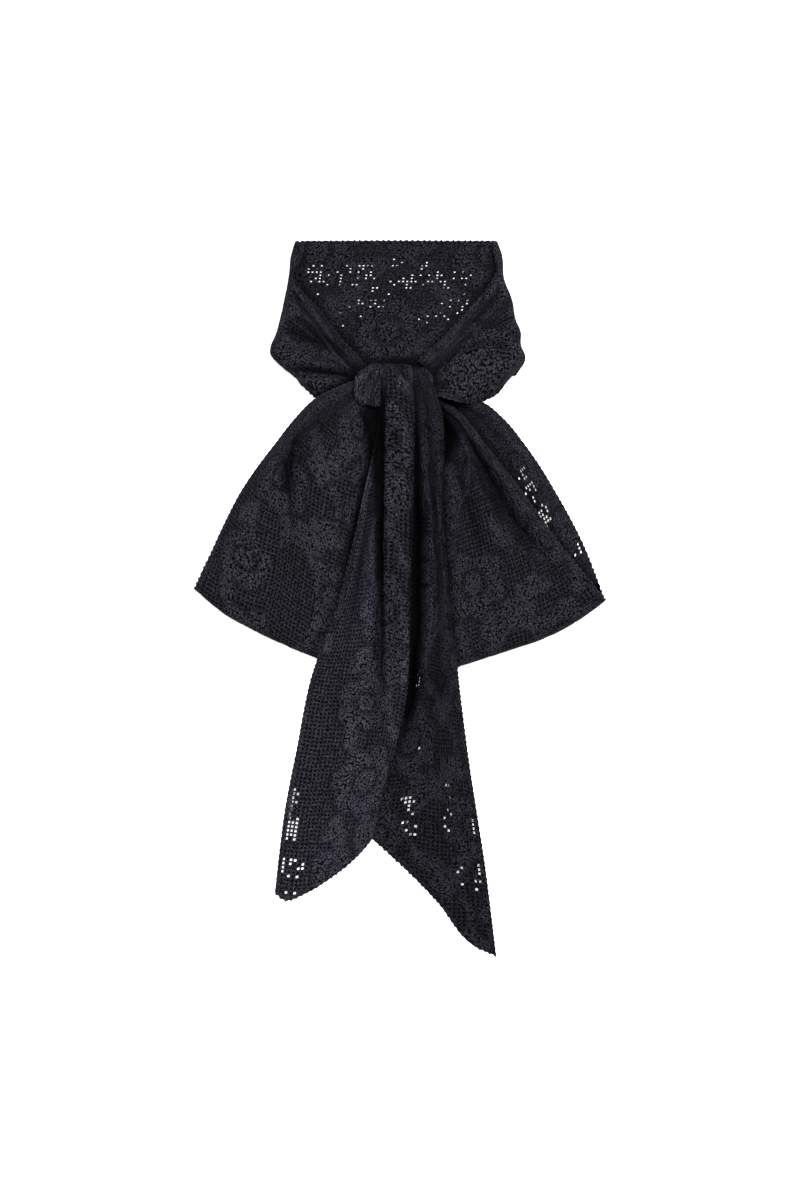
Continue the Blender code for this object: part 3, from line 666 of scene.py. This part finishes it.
RING_HALF = 0.05
HEART_CORDS = ((0.42, 2), (0.2, 4))  # radius of each round cord in a flower, and how many of its points are skipped
SPOKE = (0.44, 0.74)  # where the cord between two petals begins and ends
RIB = (0.02, 0.86)  # where a leaf's rib begins and ends, as shares of its length


def tiles(length, width):
    """The shifts of every repeat that can reach a cloth of that size."""
    along = np.arange(-1, length // REPEAT_ALONG + 2) * REPEAT_ALONG
    across = np.arange(-1, width // REPEAT_ACROSS + 2) * REPEAT_ACROSS
    return [(a, b) for a in along for b in across]


def stem_at(u, dv):
    """The middle of the waving stem at each u."""
    return STEM_MIDDLE + dv + STEM_SWING * np.sin(2 * np.pi * u / REPEAT_ALONG)


def rim_of(angle, petals, turn):
    """The edge of a flower as a share of its radius: a round arch for each petal, and a notch between each two."""
    return 0.74 + 0.26 * np.abs(np.cos(petals * (angle - np.radians(turn)) / 2)) ** 0.7


def leaf_half(share, width):
    """Half a leaf's width at a share of its length: fullest before the middle, with a point at its tip."""
    share = np.clip(share, 0, 1)
    return width / 2 * np.sin(np.pi * share**0.85) ** 0.9


def worked(u, v, length, width):
    """How far inside the worked parts each point of the cloth lies, from 1 deep inside to under 0 in the net."""
    deep = np.full(u.shape, -1.0)
    for du, dv in tiles(length, width):
        for cu, cv, radius, petals, turn in FLOWERS:
            x, y = u - cu - du, v - cv - dv
            far = np.hypot(x, y) / radius
            inside = 1 - far / rim_of(np.arctan2(y, x), petals, turn)
            ring = np.abs(far - FLOWER_RING) - RING_HALF
            deep = np.maximum(deep, np.minimum(inside * 6, ring * 20))
        for cu, cv, size, wide, turn in LEAVES:
            x, y = u - cu - du, v - cv - dv
            c, s = np.cos(np.radians(turn)), np.sin(np.radians(turn))
            share, off = (x * c + y * s) / size, np.abs(y * c - x * s)
            inside = 1 - off / (leaf_half(share, wide) + 1e-3)
            deep = np.maximum(deep, np.where((share > 0) & (share < 1), inside * 3, -1))
        deep = np.maximum(deep, (1 - np.abs(v - stem_at(u, dv)) / STEM_HALF) * 2)
    return np.clip(deep, -1, 1)


def drawn(length, width):
    """The lines of cord that outline the worked parts, each an array of points u, v."""
    lines = []
    turn_round = np.linspace(0, 2 * np.pi, 97)
    for du, dv in tiles(length, width):
        for cu, cv, radius, petals, turn in FLOWERS:
            middle = np.array([cu + du, cv + dv])
            way = np.stack([np.cos(turn_round), np.sin(turn_round)], axis=1)
            lines.append(middle + way * (radius * rim_of(turn_round, petals, turn))[:, None])
            lines += [middle + way[::skip] * radius * share for share, skip in HEART_CORDS]
            for petal in range(petals):
                angle = np.radians(turn) + (petal + 0.5) * 2 * np.pi / petals
                spoke = np.linspace(*SPOKE, 8)[:, None] * radius
                lines.append(middle + spoke * [np.cos(angle), np.sin(angle)])
        for cu, cv, size, wide, turn in LEAVES:
            share = np.linspace(0, 1, 19)
            half = leaf_half(share, wide)
            x = np.concatenate([share, share[::-1]]) * size
            y = np.concatenate([half, -half[::-1]])
            rib = np.linspace(*RIB, 16) * size
            c, s = np.cos(np.radians(turn)), np.sin(np.radians(turn))
            for px, py in ((x, y), (rib, 0 * rib)):
                lines.append(np.stack([cu + du + px * c - py * s, cv + dv + px * s + py * c], axis=1))
        along = du + np.linspace(0, REPEAT_ALONG, 80)
        lines += [np.stack([along, stem_at(along, dv) + side], axis=1) for side in (STEM_HALF, -STEM_HALF)]
    return lines


def lattice(length, pitch, bar, edge):
    """(lines, holes) of a lattice: bars and holes by turns between two solid edges. holes marks the holes' spans."""
    count = int((length - 2 * edge - bar) / pitch)
    pitch = (length - 2 * edge - bar) / count
    start = edge + np.arange(count) * pitch
    lines = np.stack([start, start + bar], axis=1).ravel()
    lines = np.concatenate([[0], lines, [length - edge - bar, length - edge, length]])
    holes = np.zeros(len(lines) - 1, bool)
    holes[2 : 2 * count + 1 : 2] = True
    return lines, holes


def away_from(points, line):
    """(distance, share) of points x, y from a line, where share tells how far along the line its nearest place is."""
    line = np.array(line, float)
    ways = np.diff(line, axis=0)
    run = run_of(line)
    best = np.full(points.shape[:-1], np.inf)
    share = np.zeros_like(best)
    for start, way, length, before in zip(line, ways, np.linalg.norm(ways, axis=1), run):
        at = np.clip(((points - start) @ way) / length**2, 0, 1)
        far = np.linalg.norm(points - start - at[..., None] * way, axis=-1)
        nearer = far < best
        best = np.where(nearer, far, best)
        share = np.where(nearer, (before + at * length) / run[-1], share)
    return best, share


def creased(points, creases):
    """How far creases lift each point: nothing on the line, most at its reach, and less again further out.

    A crease of negative height is a hollow, deepest on the line. A slow swell of about a millimetre is added, because
    no cloth lies quite even.
    """
    x, y = points[..., 0], points[..., 1]
    lift = SWELL * (2 + np.sin(x / 11 + 1.7 * np.sin(y / 23)) + np.sin(y / 14 + 1.9 * np.sin(x / 19)))
    for height, reach, line in creases:
        far, share = away_from(points[..., :2], line)
        near = far / reach
        form = near * np.exp(1 - near) if height > 0 else np.exp(-(near**2))
        lift += height * form * np.sqrt(4 * share * (1 - share))
    return lift


def middle_of(grid):
    """The mean of the four corners of each cell of a grid."""
    return (grid[1:, 1:] + grid[:-1, 1:] + grid[1:, :-1] + grid[:-1, :-1]) / 4


def between(line):
    return (line[1:] + line[:-1]) / 2


def spots_of(u, v):
    """A grid of the places u, v of the cloth."""
    return np.stack(np.meshgrid(u, v, indexing="ij"), axis=-1)


def patched(points, patches):
    """The value at each point of the strongest patch that it lies in, or 0. Each patch is an ellipse in x and y."""
    found = np.zeros(points.shape[:-1])
    for x, y, half_x, half_y, value in patches:
        far = np.hypot((points[..., 0] - x) / half_x, (points[..., 1] - y) / half_y)
        found = np.where((far < 1) & (np.abs(found) < abs(value)), value, found)
    return found


class Cloth:
    """A stretch of lace laid along a coarse grid of points, measured in the cloth's own u and v."""

    def __init__(self, coarse, shown, shift, creases, mesh, bars):
        """coarse runs along the strip on its first axis, and shown tells its rows whose upper side is in sight."""
        gaps = np.linalg.norm(np.diff(coarse, axis=1), axis=2)
        widest = np.argsort(gaps.sum(axis=1))[-max(3, len(coarse) // 2) :]
        across = np.concatenate([[0], np.cumsum(gaps[widest].mean(axis=0))])
        self.v, open_v = lattice(across[-1], mesh[0], bars[0], SELVEDGE)
        columns = np.interp(self.v, across, np.arange(len(across)))
        strips = smooth_at(coarse.transpose(1, 0, 2), columns).transpose(1, 0, 2)
        run = run_of(strips)
        self.ends = run[-1]
        self.size = np.array([self.ends.max(), across[-1]])
        self.u, open_u = lattice(self.size[0], mesh[1], bars[1], END_BAR)
        rows = np.arange(len(coarse))
        places = np.stack([np.interp(self.u, run[:, k], rows) for k in range(len(self.v))], axis=1)
        self.points = smooth_at(strips, places)
        self.shown = np.interp(places, rows, shown)
        self.points[..., 2] += creased(self.points, creases) * self.shown
        self.normals = normals_of(self.points)
        self.flipped = (self.normals[..., 2] * (self.shown > 0.5)).sum() < 0
        if self.flipped:
            self.normals = -self.normals
        self.gathered = np.clip(np.linalg.norm(np.gradient(self.points, self.v, axis=1), axis=2), 0, 1)
        self.shift = np.array(shift)
        self.deep = self.depth(spots_of(self.u, self.v), self.points)
        middle = middle_of(self.points)
        share = patched(middle, SEE_THROUGH)
        net = (self.depth(spots_of(between(self.u), between(self.v)), middle) < 0) | (share > ALL_OPEN)
        past = self.u[1:, None] > np.minimum(self.ends[1:], self.ends[:-1]) - HEM_WIDTH
        gone = self.u[:-1, None] >= np.maximum(self.ends[1:], self.ends[:-1]) - 1e-6
        wide = np.linalg.norm(np.diff(self.points, axis=1), axis=2)
        meshes = open_u[:, None] & open_v & net & ~past & (np.minimum(wide[1:], wide[:-1]) > CLOSED_UP)
        random = np.random.default_rng(SEED)
        share = share * random.uniform(*COLUMN_SHARE, meshes.shape[1])
        holes = meshes & (random.random(meshes.shape) < share)
        self.pit = meshes & ~holes & ~gone
        self.solid = ~meshes & ~gone

    def depth(self, spots, points):
        """How deep in the worked parts each spot u, v lies: what PLAIN says, or else the repeat."""
        kind = patched(points, PLAIN)
        u, v = np.moveaxis(spots + self.shift, -1, 0)
        return np.where(kind == 0, worked(u, v, *(self.size + self.shift)), kind)

    def cell(self, spots):
        """The row and the column of the grid at which spots u, v lie, with their fractions."""
        return [np.interp(spots[:, k], line, np.arange(len(line))) for k, line in enumerate((self.u, self.v))]

    def at(self, spots):
        """(points, normals, seen) of the upper side at spots u, v."""
        row, column = self.cell(spots)
        i = np.minimum(row.astype(int), len(self.u) - 2)
        j = np.minimum(column.astype(int), len(self.v) - 2)
        a, b = (row - i)[:, None], (column - j)[:, None]
        found = []
        for field in (self.points, self.normals, self.shown[..., None], self.gathered[..., None]):
            near = field[i, j] * (1 - a) * (1 - b) + field[i + 1, j] * a * (1 - b)
            found.append(near + field[i, j + 1] * (1 - a) * b + field[i + 1, j + 1] * a * b)
        points, normals, shown, gathered = found
        u, v = spots.T
        seen = (shown[:, 0] > IN_SIGHT) & (u > 0) & (u < np.interp(v, self.v, self.ends) - 1)
        seen &= (v > 1) & (v < self.size[1] - 1) & (gathered[:, 0] > CORD_LEAST)
        return points, normals, seen


def wall_faces(solid, pit, offset):
    """(quads, triangles) of a wall with its upper points numbered in a grid and its under ones following by offset.

    Each solid cell has an upper and an under face, and a rim face wherever it meets a hole or the edge. A pit has
    four triangles down to a point of its own instead of an upper face, and these points follow the under ones.
    """
    rows, columns = solid.shape
    number = np.arange((rows + 1) * (columns + 1)).reshape(rows + 1, columns + 1)
    a, b, c, d = number[:-1, :-1], number[:-1, 1:], number[1:, 1:], number[1:, :-1]
    upper = np.stack([a, d, c, b], axis=-1)[solid]
    low = 2 * offset + np.arange(pit.sum())
    around = [number[pit] for number in (a, d, c, b, a)]
    slopes = [np.stack([p, q, low], axis=-1) for p, q in zip(around[:-1], around[1:])]
    solid = solid | pit
    under = np.stack([a, b, c, d], axis=-1)[solid] + offset
    framed = np.pad(solid, 1)
    faces = [upper, under]
    for (p, q), other in (
        ((a, b), framed[:-2, 1:-1]),
        ((c, d), framed[2:, 1:-1]),
        ((d, a), framed[1:-1, :-2]),
        ((b, c), framed[1:-1, 2:]),
    ):
        edge = solid & ~other
        p, q = p[edge], q[edge]
        faces.append(np.stack([p, q, q + offset, p + offset], axis=-1))
    return np.concatenate(faces), np.concatenate(slopes)


def tube(points, normals, radius):
    """Rings of a cord along the points, round across its way, with its lower side sunk into the cloth."""
    way = np.gradient(points, axis=0)
    side = unit(np.cross(way, normals))
    angle = np.linspace(0, 2 * np.pi, CORD_SIDES, endpoint=False)[:, None]
    radius = np.broadcast_to(radius, len(points))[:, None, None]
    return points[:, None] + radius * (np.cos(angle) * side[:, None] + np.sin(angle) * normals[:, None])


def tube_faces(count, first):
    """Quads between the rings of a cord, and a face over each end."""
    number = first + np.arange(count * CORD_SIDES).reshape(count, CORD_SIDES)
    after = np.roll(number, -1, axis=1)
    quads = np.stack([number[:-1], after[:-1], after[1:], number[1:]], axis=-1).reshape(-1, 4)
    return quads.tolist() + [number[0][::-1].tolist(), number[-1].tolist()]


def spaced(line, step):
    """The line again, with its points about step apart."""
    run = run_of(line)
    at = np.linspace(0, run[-1], max(3, int(run[-1] / step) + 1))
    return np.stack([np.interp(at, run, line[:, k]) for k in range(line.shape[1])], axis=1)


def runs_of(keep, least):
    """(start, stop) of each unbroken run of at least that many kept points."""
    marks = np.diff(np.concatenate([[0], keep.astype(int), [0]]))
    return [(a, b) for a, b in zip(np.flatnonzero(marks > 0), np.flatnonzero(marks < 0)) if b - a >= least]


def cords_on(cloth):
    """(rings, spots) of the outlining cords on the upper side of a cloth."""
    found = []
    for line in drawn(*(cloth.size + cloth.shift)):
        line = line - cloth.shift
        if (line.max(axis=0) < 0).any() or (line.min(axis=0) > cloth.size).any():
            continue
        line = spaced(line, CORD_STEP)
        points, normals, seen = cloth.at(line)
        for a, b in runs_of(seen & (patched(points, PLAIN) == 0), CORD_POINTS):
            middle = points[a:b] + normals[a:b] * CORD_SEAT
            pace = np.linalg.norm(np.gradient(middle, axis=0), axis=1) / CORD_STEP
            radius = CORD_RADIUS * np.clip(pace, CORD_THIN, 1)
            found.append((tube(middle, normals[a:b], radius), line[a:b]))
    return found


def edges_on(cloth, hem):
    """(rings, spots) of the corded edge along both selvedges, and along the hem if there is one."""
    width = cloth.size[1]
    lines = []
    for v in (0.0, width):
        end = np.interp(v, cloth.v, cloth.ends)
        along = np.linspace(0, end, int(end / EDGE_STEP))
        lines.append(np.stack([along, np.full(len(along), v)], axis=1))
    if hem:
        across = np.linspace(0, width, int(width / HEM_STEP))
        lines.append(np.stack([np.interp(across, cloth.v, cloth.ends), across], axis=1))
    found = []
    for line in lines:
        points, normals, _ = cloth.at(line)
        bead = np.maximum(0, np.sin(2 * np.pi * run_of(points) / EDGE_BEAD))
        inner = cloth.at(line + (cloth.size / 2 - line) * EDGE_INNER)[0]
        points = points + unit(points - inner) * (EDGE_PICOT * bead)[:, None]
        found.append((tube(points, normals, EDGE_RADIUS * (0.7 + 0.4 * bead)), line))
    return found


def srgb(code):
    """A hex colour as linear red, green, blue and alpha."""
    share = np.array([int(code[at : at + 2], 16) for at in (0, 2, 4)]) / 255
    low = share <= 0.04045
    return [*np.where(low, share / 12.92, ((share + 0.055) / 1.055) ** 2.4).tolist(), 1.0]


def add(tree, kind, links=(), **settings):
    """A node of that kind. Each setting names a property, or an input by in_NAME, and a link is (input, output)."""
    node = tree.nodes.new(kind)
    for name, value in settings.items():
        if name.startswith("in_"):
            node.inputs[name[3:].replace("_", " ")].default_value = value
        else:
            setattr(node, name, value)
    for entry, source in links:
        tree.links.new(node.inputs[entry], source)
    return node


def ranged(tree, source, before, after):
    """The output of a node that maps the span before onto the span after."""
    spans = {"in_From_Min": before[0], "in_From_Max": before[1], "in_To_Min": after[0], "in_To_Max": after[1]}
    return add(tree, "ShaderNodeMapRange", [("Value", source)], **spans).outputs["Result"]


def times(tree, first, second):
    return add(tree, "ShaderNodeMath", [(0, first), (1, second)], operation="MULTIPLY").outputs["Value"]


def scaled(tree, amount):
    """A node that scales the colour at its first input by the amount."""
    return add(tree, "ShaderNodeVectorMath", [("Scale", amount)], operation="SCALE")


def shader_of(block, name, **settings):
    """The named shader of a material or a world, with its inputs set."""
    block.use_nodes = True
    shader = block.node_tree.nodes[name]
    for entry, value in settings.items():
        shader.inputs[entry.replace("_", " ")].default_value = value
    return shader


def lace_yarn():
    """Matte cotton yarn, dyed black: a crust of knots 2 mm apart, light on top of each and near black between them.
    The knots are partly the yarn's own uneven texture, and partly a painted highlight on each and painted shade
    between them.

    The attribute shade is how much painted light a point gets, crust is 1 where the lace is worked solid, and cord is
    1 on the smooth cords, which are painted lighter as a painted sheen.
    """
    material = bpy.data.materials.new("black_cotton_lace")
    shader = shader_of(material, "Principled BSDF", Roughness=0.85, Specular_IOR_Level=0.05)
    tree = material.node_tree
    spot = add(tree, "ShaderNodeUVMap", uv_map="cloth").outputs["UV"]
    shade, crust, cord = [
        add(tree, "ShaderNodeAttribute", attribute_name=name).outputs["Fac"] for name in ATTRIBUTES
    ]
    knots = add(tree, "ShaderNodeTexVoronoi", [("Vector", spot)], voronoi_dimensions="2D", in_Scale=500.0)
    knots = knots.outputs["Distance"]
    fibre = add(tree, "ShaderNodeTexNoise", [("Vector", spot)], in_Scale=1050.0, in_Detail=1.0).outputs["Fac"]
    # Each knot is light in its middle and near black at its rim: partly the yarn's texture, partly a painted
    # highlight and painted shade.
    knot_texture_and_painted_light = times(tree, ranged(tree, knots, (0.1, 0.64), (2.8, 0.0)), ranged(tree, fibre, (0.33, 0.67), (0.0, 2.6)))
    rough = ranged(tree, crust, (0.0, 1.0), (0.5, 1.0))
    knotted = add(tree, "ShaderNodeMix", [(0, rough), (3, knot_texture_and_painted_light)], data_type="FLOAT")
    knotted.inputs[2].default_value = 1.0
    patchy = add(tree, "ShaderNodeTexNoise", [("Vector", spot)], in_Scale=170.0, in_Detail=2.0).outputs["Fac"]
    worn = ranged(tree, patchy, (0.3, 0.7), (0.65, 1.35))
    yarn = scaled(tree, times(tree, worn, knotted.outputs[0]))
    yarn.inputs[0].default_value = srgb("1d1c22")[:3]
    # The cords are painted lighter, toward 3b3943, as a painted sheen of their smooth yarn.
    smooth = ranged(tree, cord, (0.0, 1.0), (0.0, 0.7))
    cord_sheen_tint = add(tree, "ShaderNodeMix", [(0, smooth), (6, yarn.outputs[0])], data_type="RGBA")
    cord_sheen_tint.inputs[7].default_value = srgb("3b3943")
    # The colour is scaled by the painted light and shade in the attribute shade.
    painted_light_level = add(tree, "ShaderNodeClamp", [("Value", shade)], in_Min=0.02, in_Max=1.0)
    seen = scaled(tree, painted_light_level.outputs["Result"])
    tree.links.new(seen.inputs[0], cord_sheen_tint.outputs[2])
    tree.links.new(shader.inputs["Base Color"], seen.outputs[0])
    bump = add(tree, "ShaderNodeBump", [("Height", knots)], in_Strength=0.7, in_Distance=0.0006)
    bump.invert = True
    tree.links.new(shader.inputs["Normal"], bump.outputs["Normal"])
    return material


def placed(name, data, location=(0, 0, 0)):
    """A new object of that name in the scene."""
    thing = bpy.data.objects.new(name, data)
    thing.location = location
    bpy.context.scene.collection.objects.link(thing)
    return thing


def mesh_piece(name, points, faces, places, values, material):
    """A mesh object in millimetres, shaded smooth, with the cloth's own u and v in metres as its UV map.

    values has a column for each of the attributes that the yarn reads, the painted light among them. Points that no
    face uses are left out.
    """
    corners = np.concatenate([np.array(face) for face in faces])
    used = np.zeros(len(points), bool)
    used[corners] = True
    number = np.cumsum(used) - 1
    faces = [number[face].tolist() for face in faces]
    points, places, values = points[used].copy(), places[used], values[used]
    points[:, 2] = np.maximum(points[:, 2], FLOOR_GAP)
    mesh = bpy.data.meshes.new(name)
    mesh.from_pydata((points * MM).tolist(), [], faces)
    for title, column in zip(ATTRIBUTES, values.T.astype(np.float32)):
        mesh.attributes.new(title, "FLOAT", "POINT").data.foreach_set("value", np.ascontiguousarray(column))
    layer = mesh.uv_layers.new(name="cloth")
    corners = np.empty(len(mesh.loops), np.int32)
    mesh.loops.foreach_get("vertex_index", corners)
    layer.data.foreach_set("uv", (places[corners] * MM).astype(np.float32).ravel())
    mesh.shade_smooth()
    mesh.materials.append(material)
    return placed(name, mesh)


def lace_piece(name, cloth, hem, light, material):
    """The wall of bars, holes and worked parts, with its outlining cords and its corded edge."""
    crust = np.clip(cloth.deep * 2, 0, 1)
    rise = FACE_RISE + WORKED_RISE * crust
    upper = cloth.points + cloth.normals * (rise * (0.7 + 0.3 * cloth.shown))[..., None]
    under = cloth.points - cloth.normals * BACK_RISE
    low = (middle_of(cloth.points) - middle_of(cloth.normals) * (PIT_DEPTH - FACE_RISE))[cloth.pit]
    points = [upper.reshape(-1, 3), under.reshape(-1, 3), low]
    spots = spots_of(cloth.u, cloth.v)
    places = [spots.reshape(-1, 2), spots.reshape(-1, 2), middle_of(spots)[cloth.pit]]
    face = np.stack([light, crust, 0 * light], axis=-1).reshape(-1, 3)
    # The bottom of each pit is painted black, as painted shade.
    values = [face, face, np.tile([PIT_SHADE, 0, 0], (len(low), 1))]
    quads, slopes = wall_faces(cloth.solid, cloth.pit, light.size)
    turn = 1 if cloth.flipped else -1
    faces = quads[:, ::turn].tolist() + slopes[:, ::turn].tolist()
    count = 2 * light.size + len(low)
    for rings, line in cords_on(cloth) + edges_on(cloth, hem):
        faces += tube_faces(len(rings), count)
        points.append(rings.reshape(-1, 3))
        places.append(np.repeat(line, CORD_SIDES, axis=0))
        lit = light[tuple(np.rint(cloth.cell(line)).astype(int))]
        values.append(np.repeat(np.stack([lit, 0 * lit, 1 + 0 * lit], axis=1), CORD_SIDES, axis=0))
        count += rings.shape[0] * CORD_SIDES
    points, places, values = [np.concatenate(part) for part in (points, places, values)]
    return mesh_piece(name, points, faces, places, values, material)


def floor_and_light():
    """A plain pale floor, a broad soft light from above and a softer one from the side of the tails."""
    bpy.ops.mesh.primitive_plane_add(size=6)
    floor = bpy.context.object
    floor.name = "floor"
    paper = bpy.data.materials.new("white_paper")
    shader = shader_of(paper, "Principled BSDF", Base_Color=srgb("f7f7f7"), Roughness=0.9, Emission_Strength=0.6)
    shader.inputs["Emission Color"].default_value = (1, 1, 1, 1)
    floor.data.materials.append(paper)
    world = bpy.data.worlds.new("studio")
    shader_of(world, "Background", Color=(1, 1, 1, 1), Strength=0.09)
    bpy.context.scene.world = world
    for name, place, size, power in (
        ("key", (0.45, 0.65, 2.3), 0.9, 100.0),
        ("fill", (-0.7, -0.2, 2.3), 1.4, 26.0),
    ):
        light = bpy.data.lights.new(name, "AREA")
        light.size = size
        light.energy = power
        placed(name, light, place).rotation_euler = (-Vector(place)).to_track_quat("-Z", "Y").to_euler()


def camera_above():
    """A camera straight above, as far up as makes the photo's 1200 pixels 1.08 m of the table."""
    camera = bpy.data.cameras.new("above")
    camera.lens = 100
    camera.sensor_width = 36
    camera.clip_end = 20
    bpy.context.scene.camera = placed("above", camera, (0, -0.00045, 3.0))


def declare(piece, node):
    """Rides the piece on the one body, and hides the solid of that node."""
    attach(piece, "root")
    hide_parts(node)


def light_on(cloth, pile, stretch_light, gaps):
    """How much painted light each point of a cloth gets: the painted light of its stretch, less in a gap between
    folds and at a worked part's rim, as painted shade.

    The painted light falls off exponentially with the depth under the mean height of the cloth around, as painted
    shade in hollows. Each painted gap takes off its share nearly evenly within its reach, and less toward its two
    ends.
    """
    around = spread(pile.top, SHADE_REACH, np.mean)[pile.cells(cloth.points)]
    light = stretch_light * np.exp(-np.maximum(around - cloth.points[..., 2] - SHADE_FREE, 0) / SHADE_DEPTH)
    for reach, dark, line in gaps:
        far, share = away_from(cloth.points[..., :2], line)
        light *= 1 - dark * np.exp(-((far / reach) ** 4)) * (4 * share * (1 - share)) ** 0.25
    # Painted shade beside the cord round each worked part.
    return light * (1 - CORD_RIM_SHADE * np.exp(-((cloth.deep / RIM_REACH) ** 2)))


def build():
    """Lays every stretch in the order of the pile, then makes the lace of each, its colour painted with the shade
    that the pile leaves.
    """
    yarn = lace_yarn()
    pile = Pile()
    laid_out = []

    def lay(node, coarse, shown, shift, hem, held, rests_on, mesh=MESH, bars=BARS):
        cloth = Cloth(coarse, shown, shift, CREASES.get(node, ()), mesh, bars)
        pile.add(faces_of(cloth.points, steps_of(cloth.points)))
        laid_out.append((node, cloth, hem, held, rests_on))

    def lay_turned(node, surface, order, shift, held, rests_on):
        """Lays a piece that turns over at its side or hem. order is -1 where its upper layer comes first in u."""
        grid, layer = surface
        grid = lay_doubled(grid, layer, pile)
        lay(node, grid[::order], layer[::order, 0], shift, False, held, rests_on)

    back = laid(loft(net_of(NECK_BACK), 3, 3), pile)
    lay("neck_back", back, np.ones(len(back)), (20, 40), False, "laid", ["floor"], BACK_MESH, BACK_BARS)
    loop = doubled(net_of(LOOP_RIGHT_UNDER), net_of(LOOP_RIGHT_UPPER))
    lay_turned("bow_loop_right", loop, -1, (10, 0), "folded", ["floor"])
    lay_turned("neck_front_right", wrapped(net_of(FRONT_RIGHT)), 1, (0, 30), "draped", ["lace_neck_back"])
    lay_turned("neck_front_left", wrapped(net_of(FRONT_LEFT)), 1, (60, 10), "draped", ["lace_neck_back"])
    loop = doubled(net_of(LOOP_LEFT_UNDER), net_of(LOOP_LEFT_UPPER))
    lay_turned("bow_loop_left", loop, -1, (70, 0), "folded", ["floor"])

    order = np.arange(KNOT_START, KNOT_START + KNOT_SIDES + 1) % KNOT_SIDES
    band = knot_rings(pile)[:, order].transpose(1, 0, 2)
    above = np.sin(2 * np.pi * order / KNOT_SIDES) > -0.1
    lay("knot", band, above.astype(float), (15, 20), False, "folded", ["lace_bow_loop_left"])

    grid = laid(loft(net_of(TAIL_RIGHT, TAIL_RIGHT_LOW), 2, 4), pile)
    lay("tail_right", grid, np.ones(len(grid)), (0, 20), True, "draped", ["lace_bow_loop_right"])
    grid = laid(loft(net_of(TAIL_LEFT, TAIL_LEFT_LOW)), pile)
    lay("tail_left", grid, np.ones(len(grid)), (112, 152), True, "draped", ["lace_tail_right"])

    for node, cloth, hem, held, rests_on in laid_out:
        piece = lace_piece("lace_" + node, cloth, hem, light_on(cloth, pile, PAINTED_STRETCH_LIGHT[node], GAPS.get(node, ())), yarn)
        declare(piece, node)


build()
floor_and_light()
camera_above()
bpy.context.scene.view_settings.view_transform = "Standard"

bpy.context.view_layer.update()
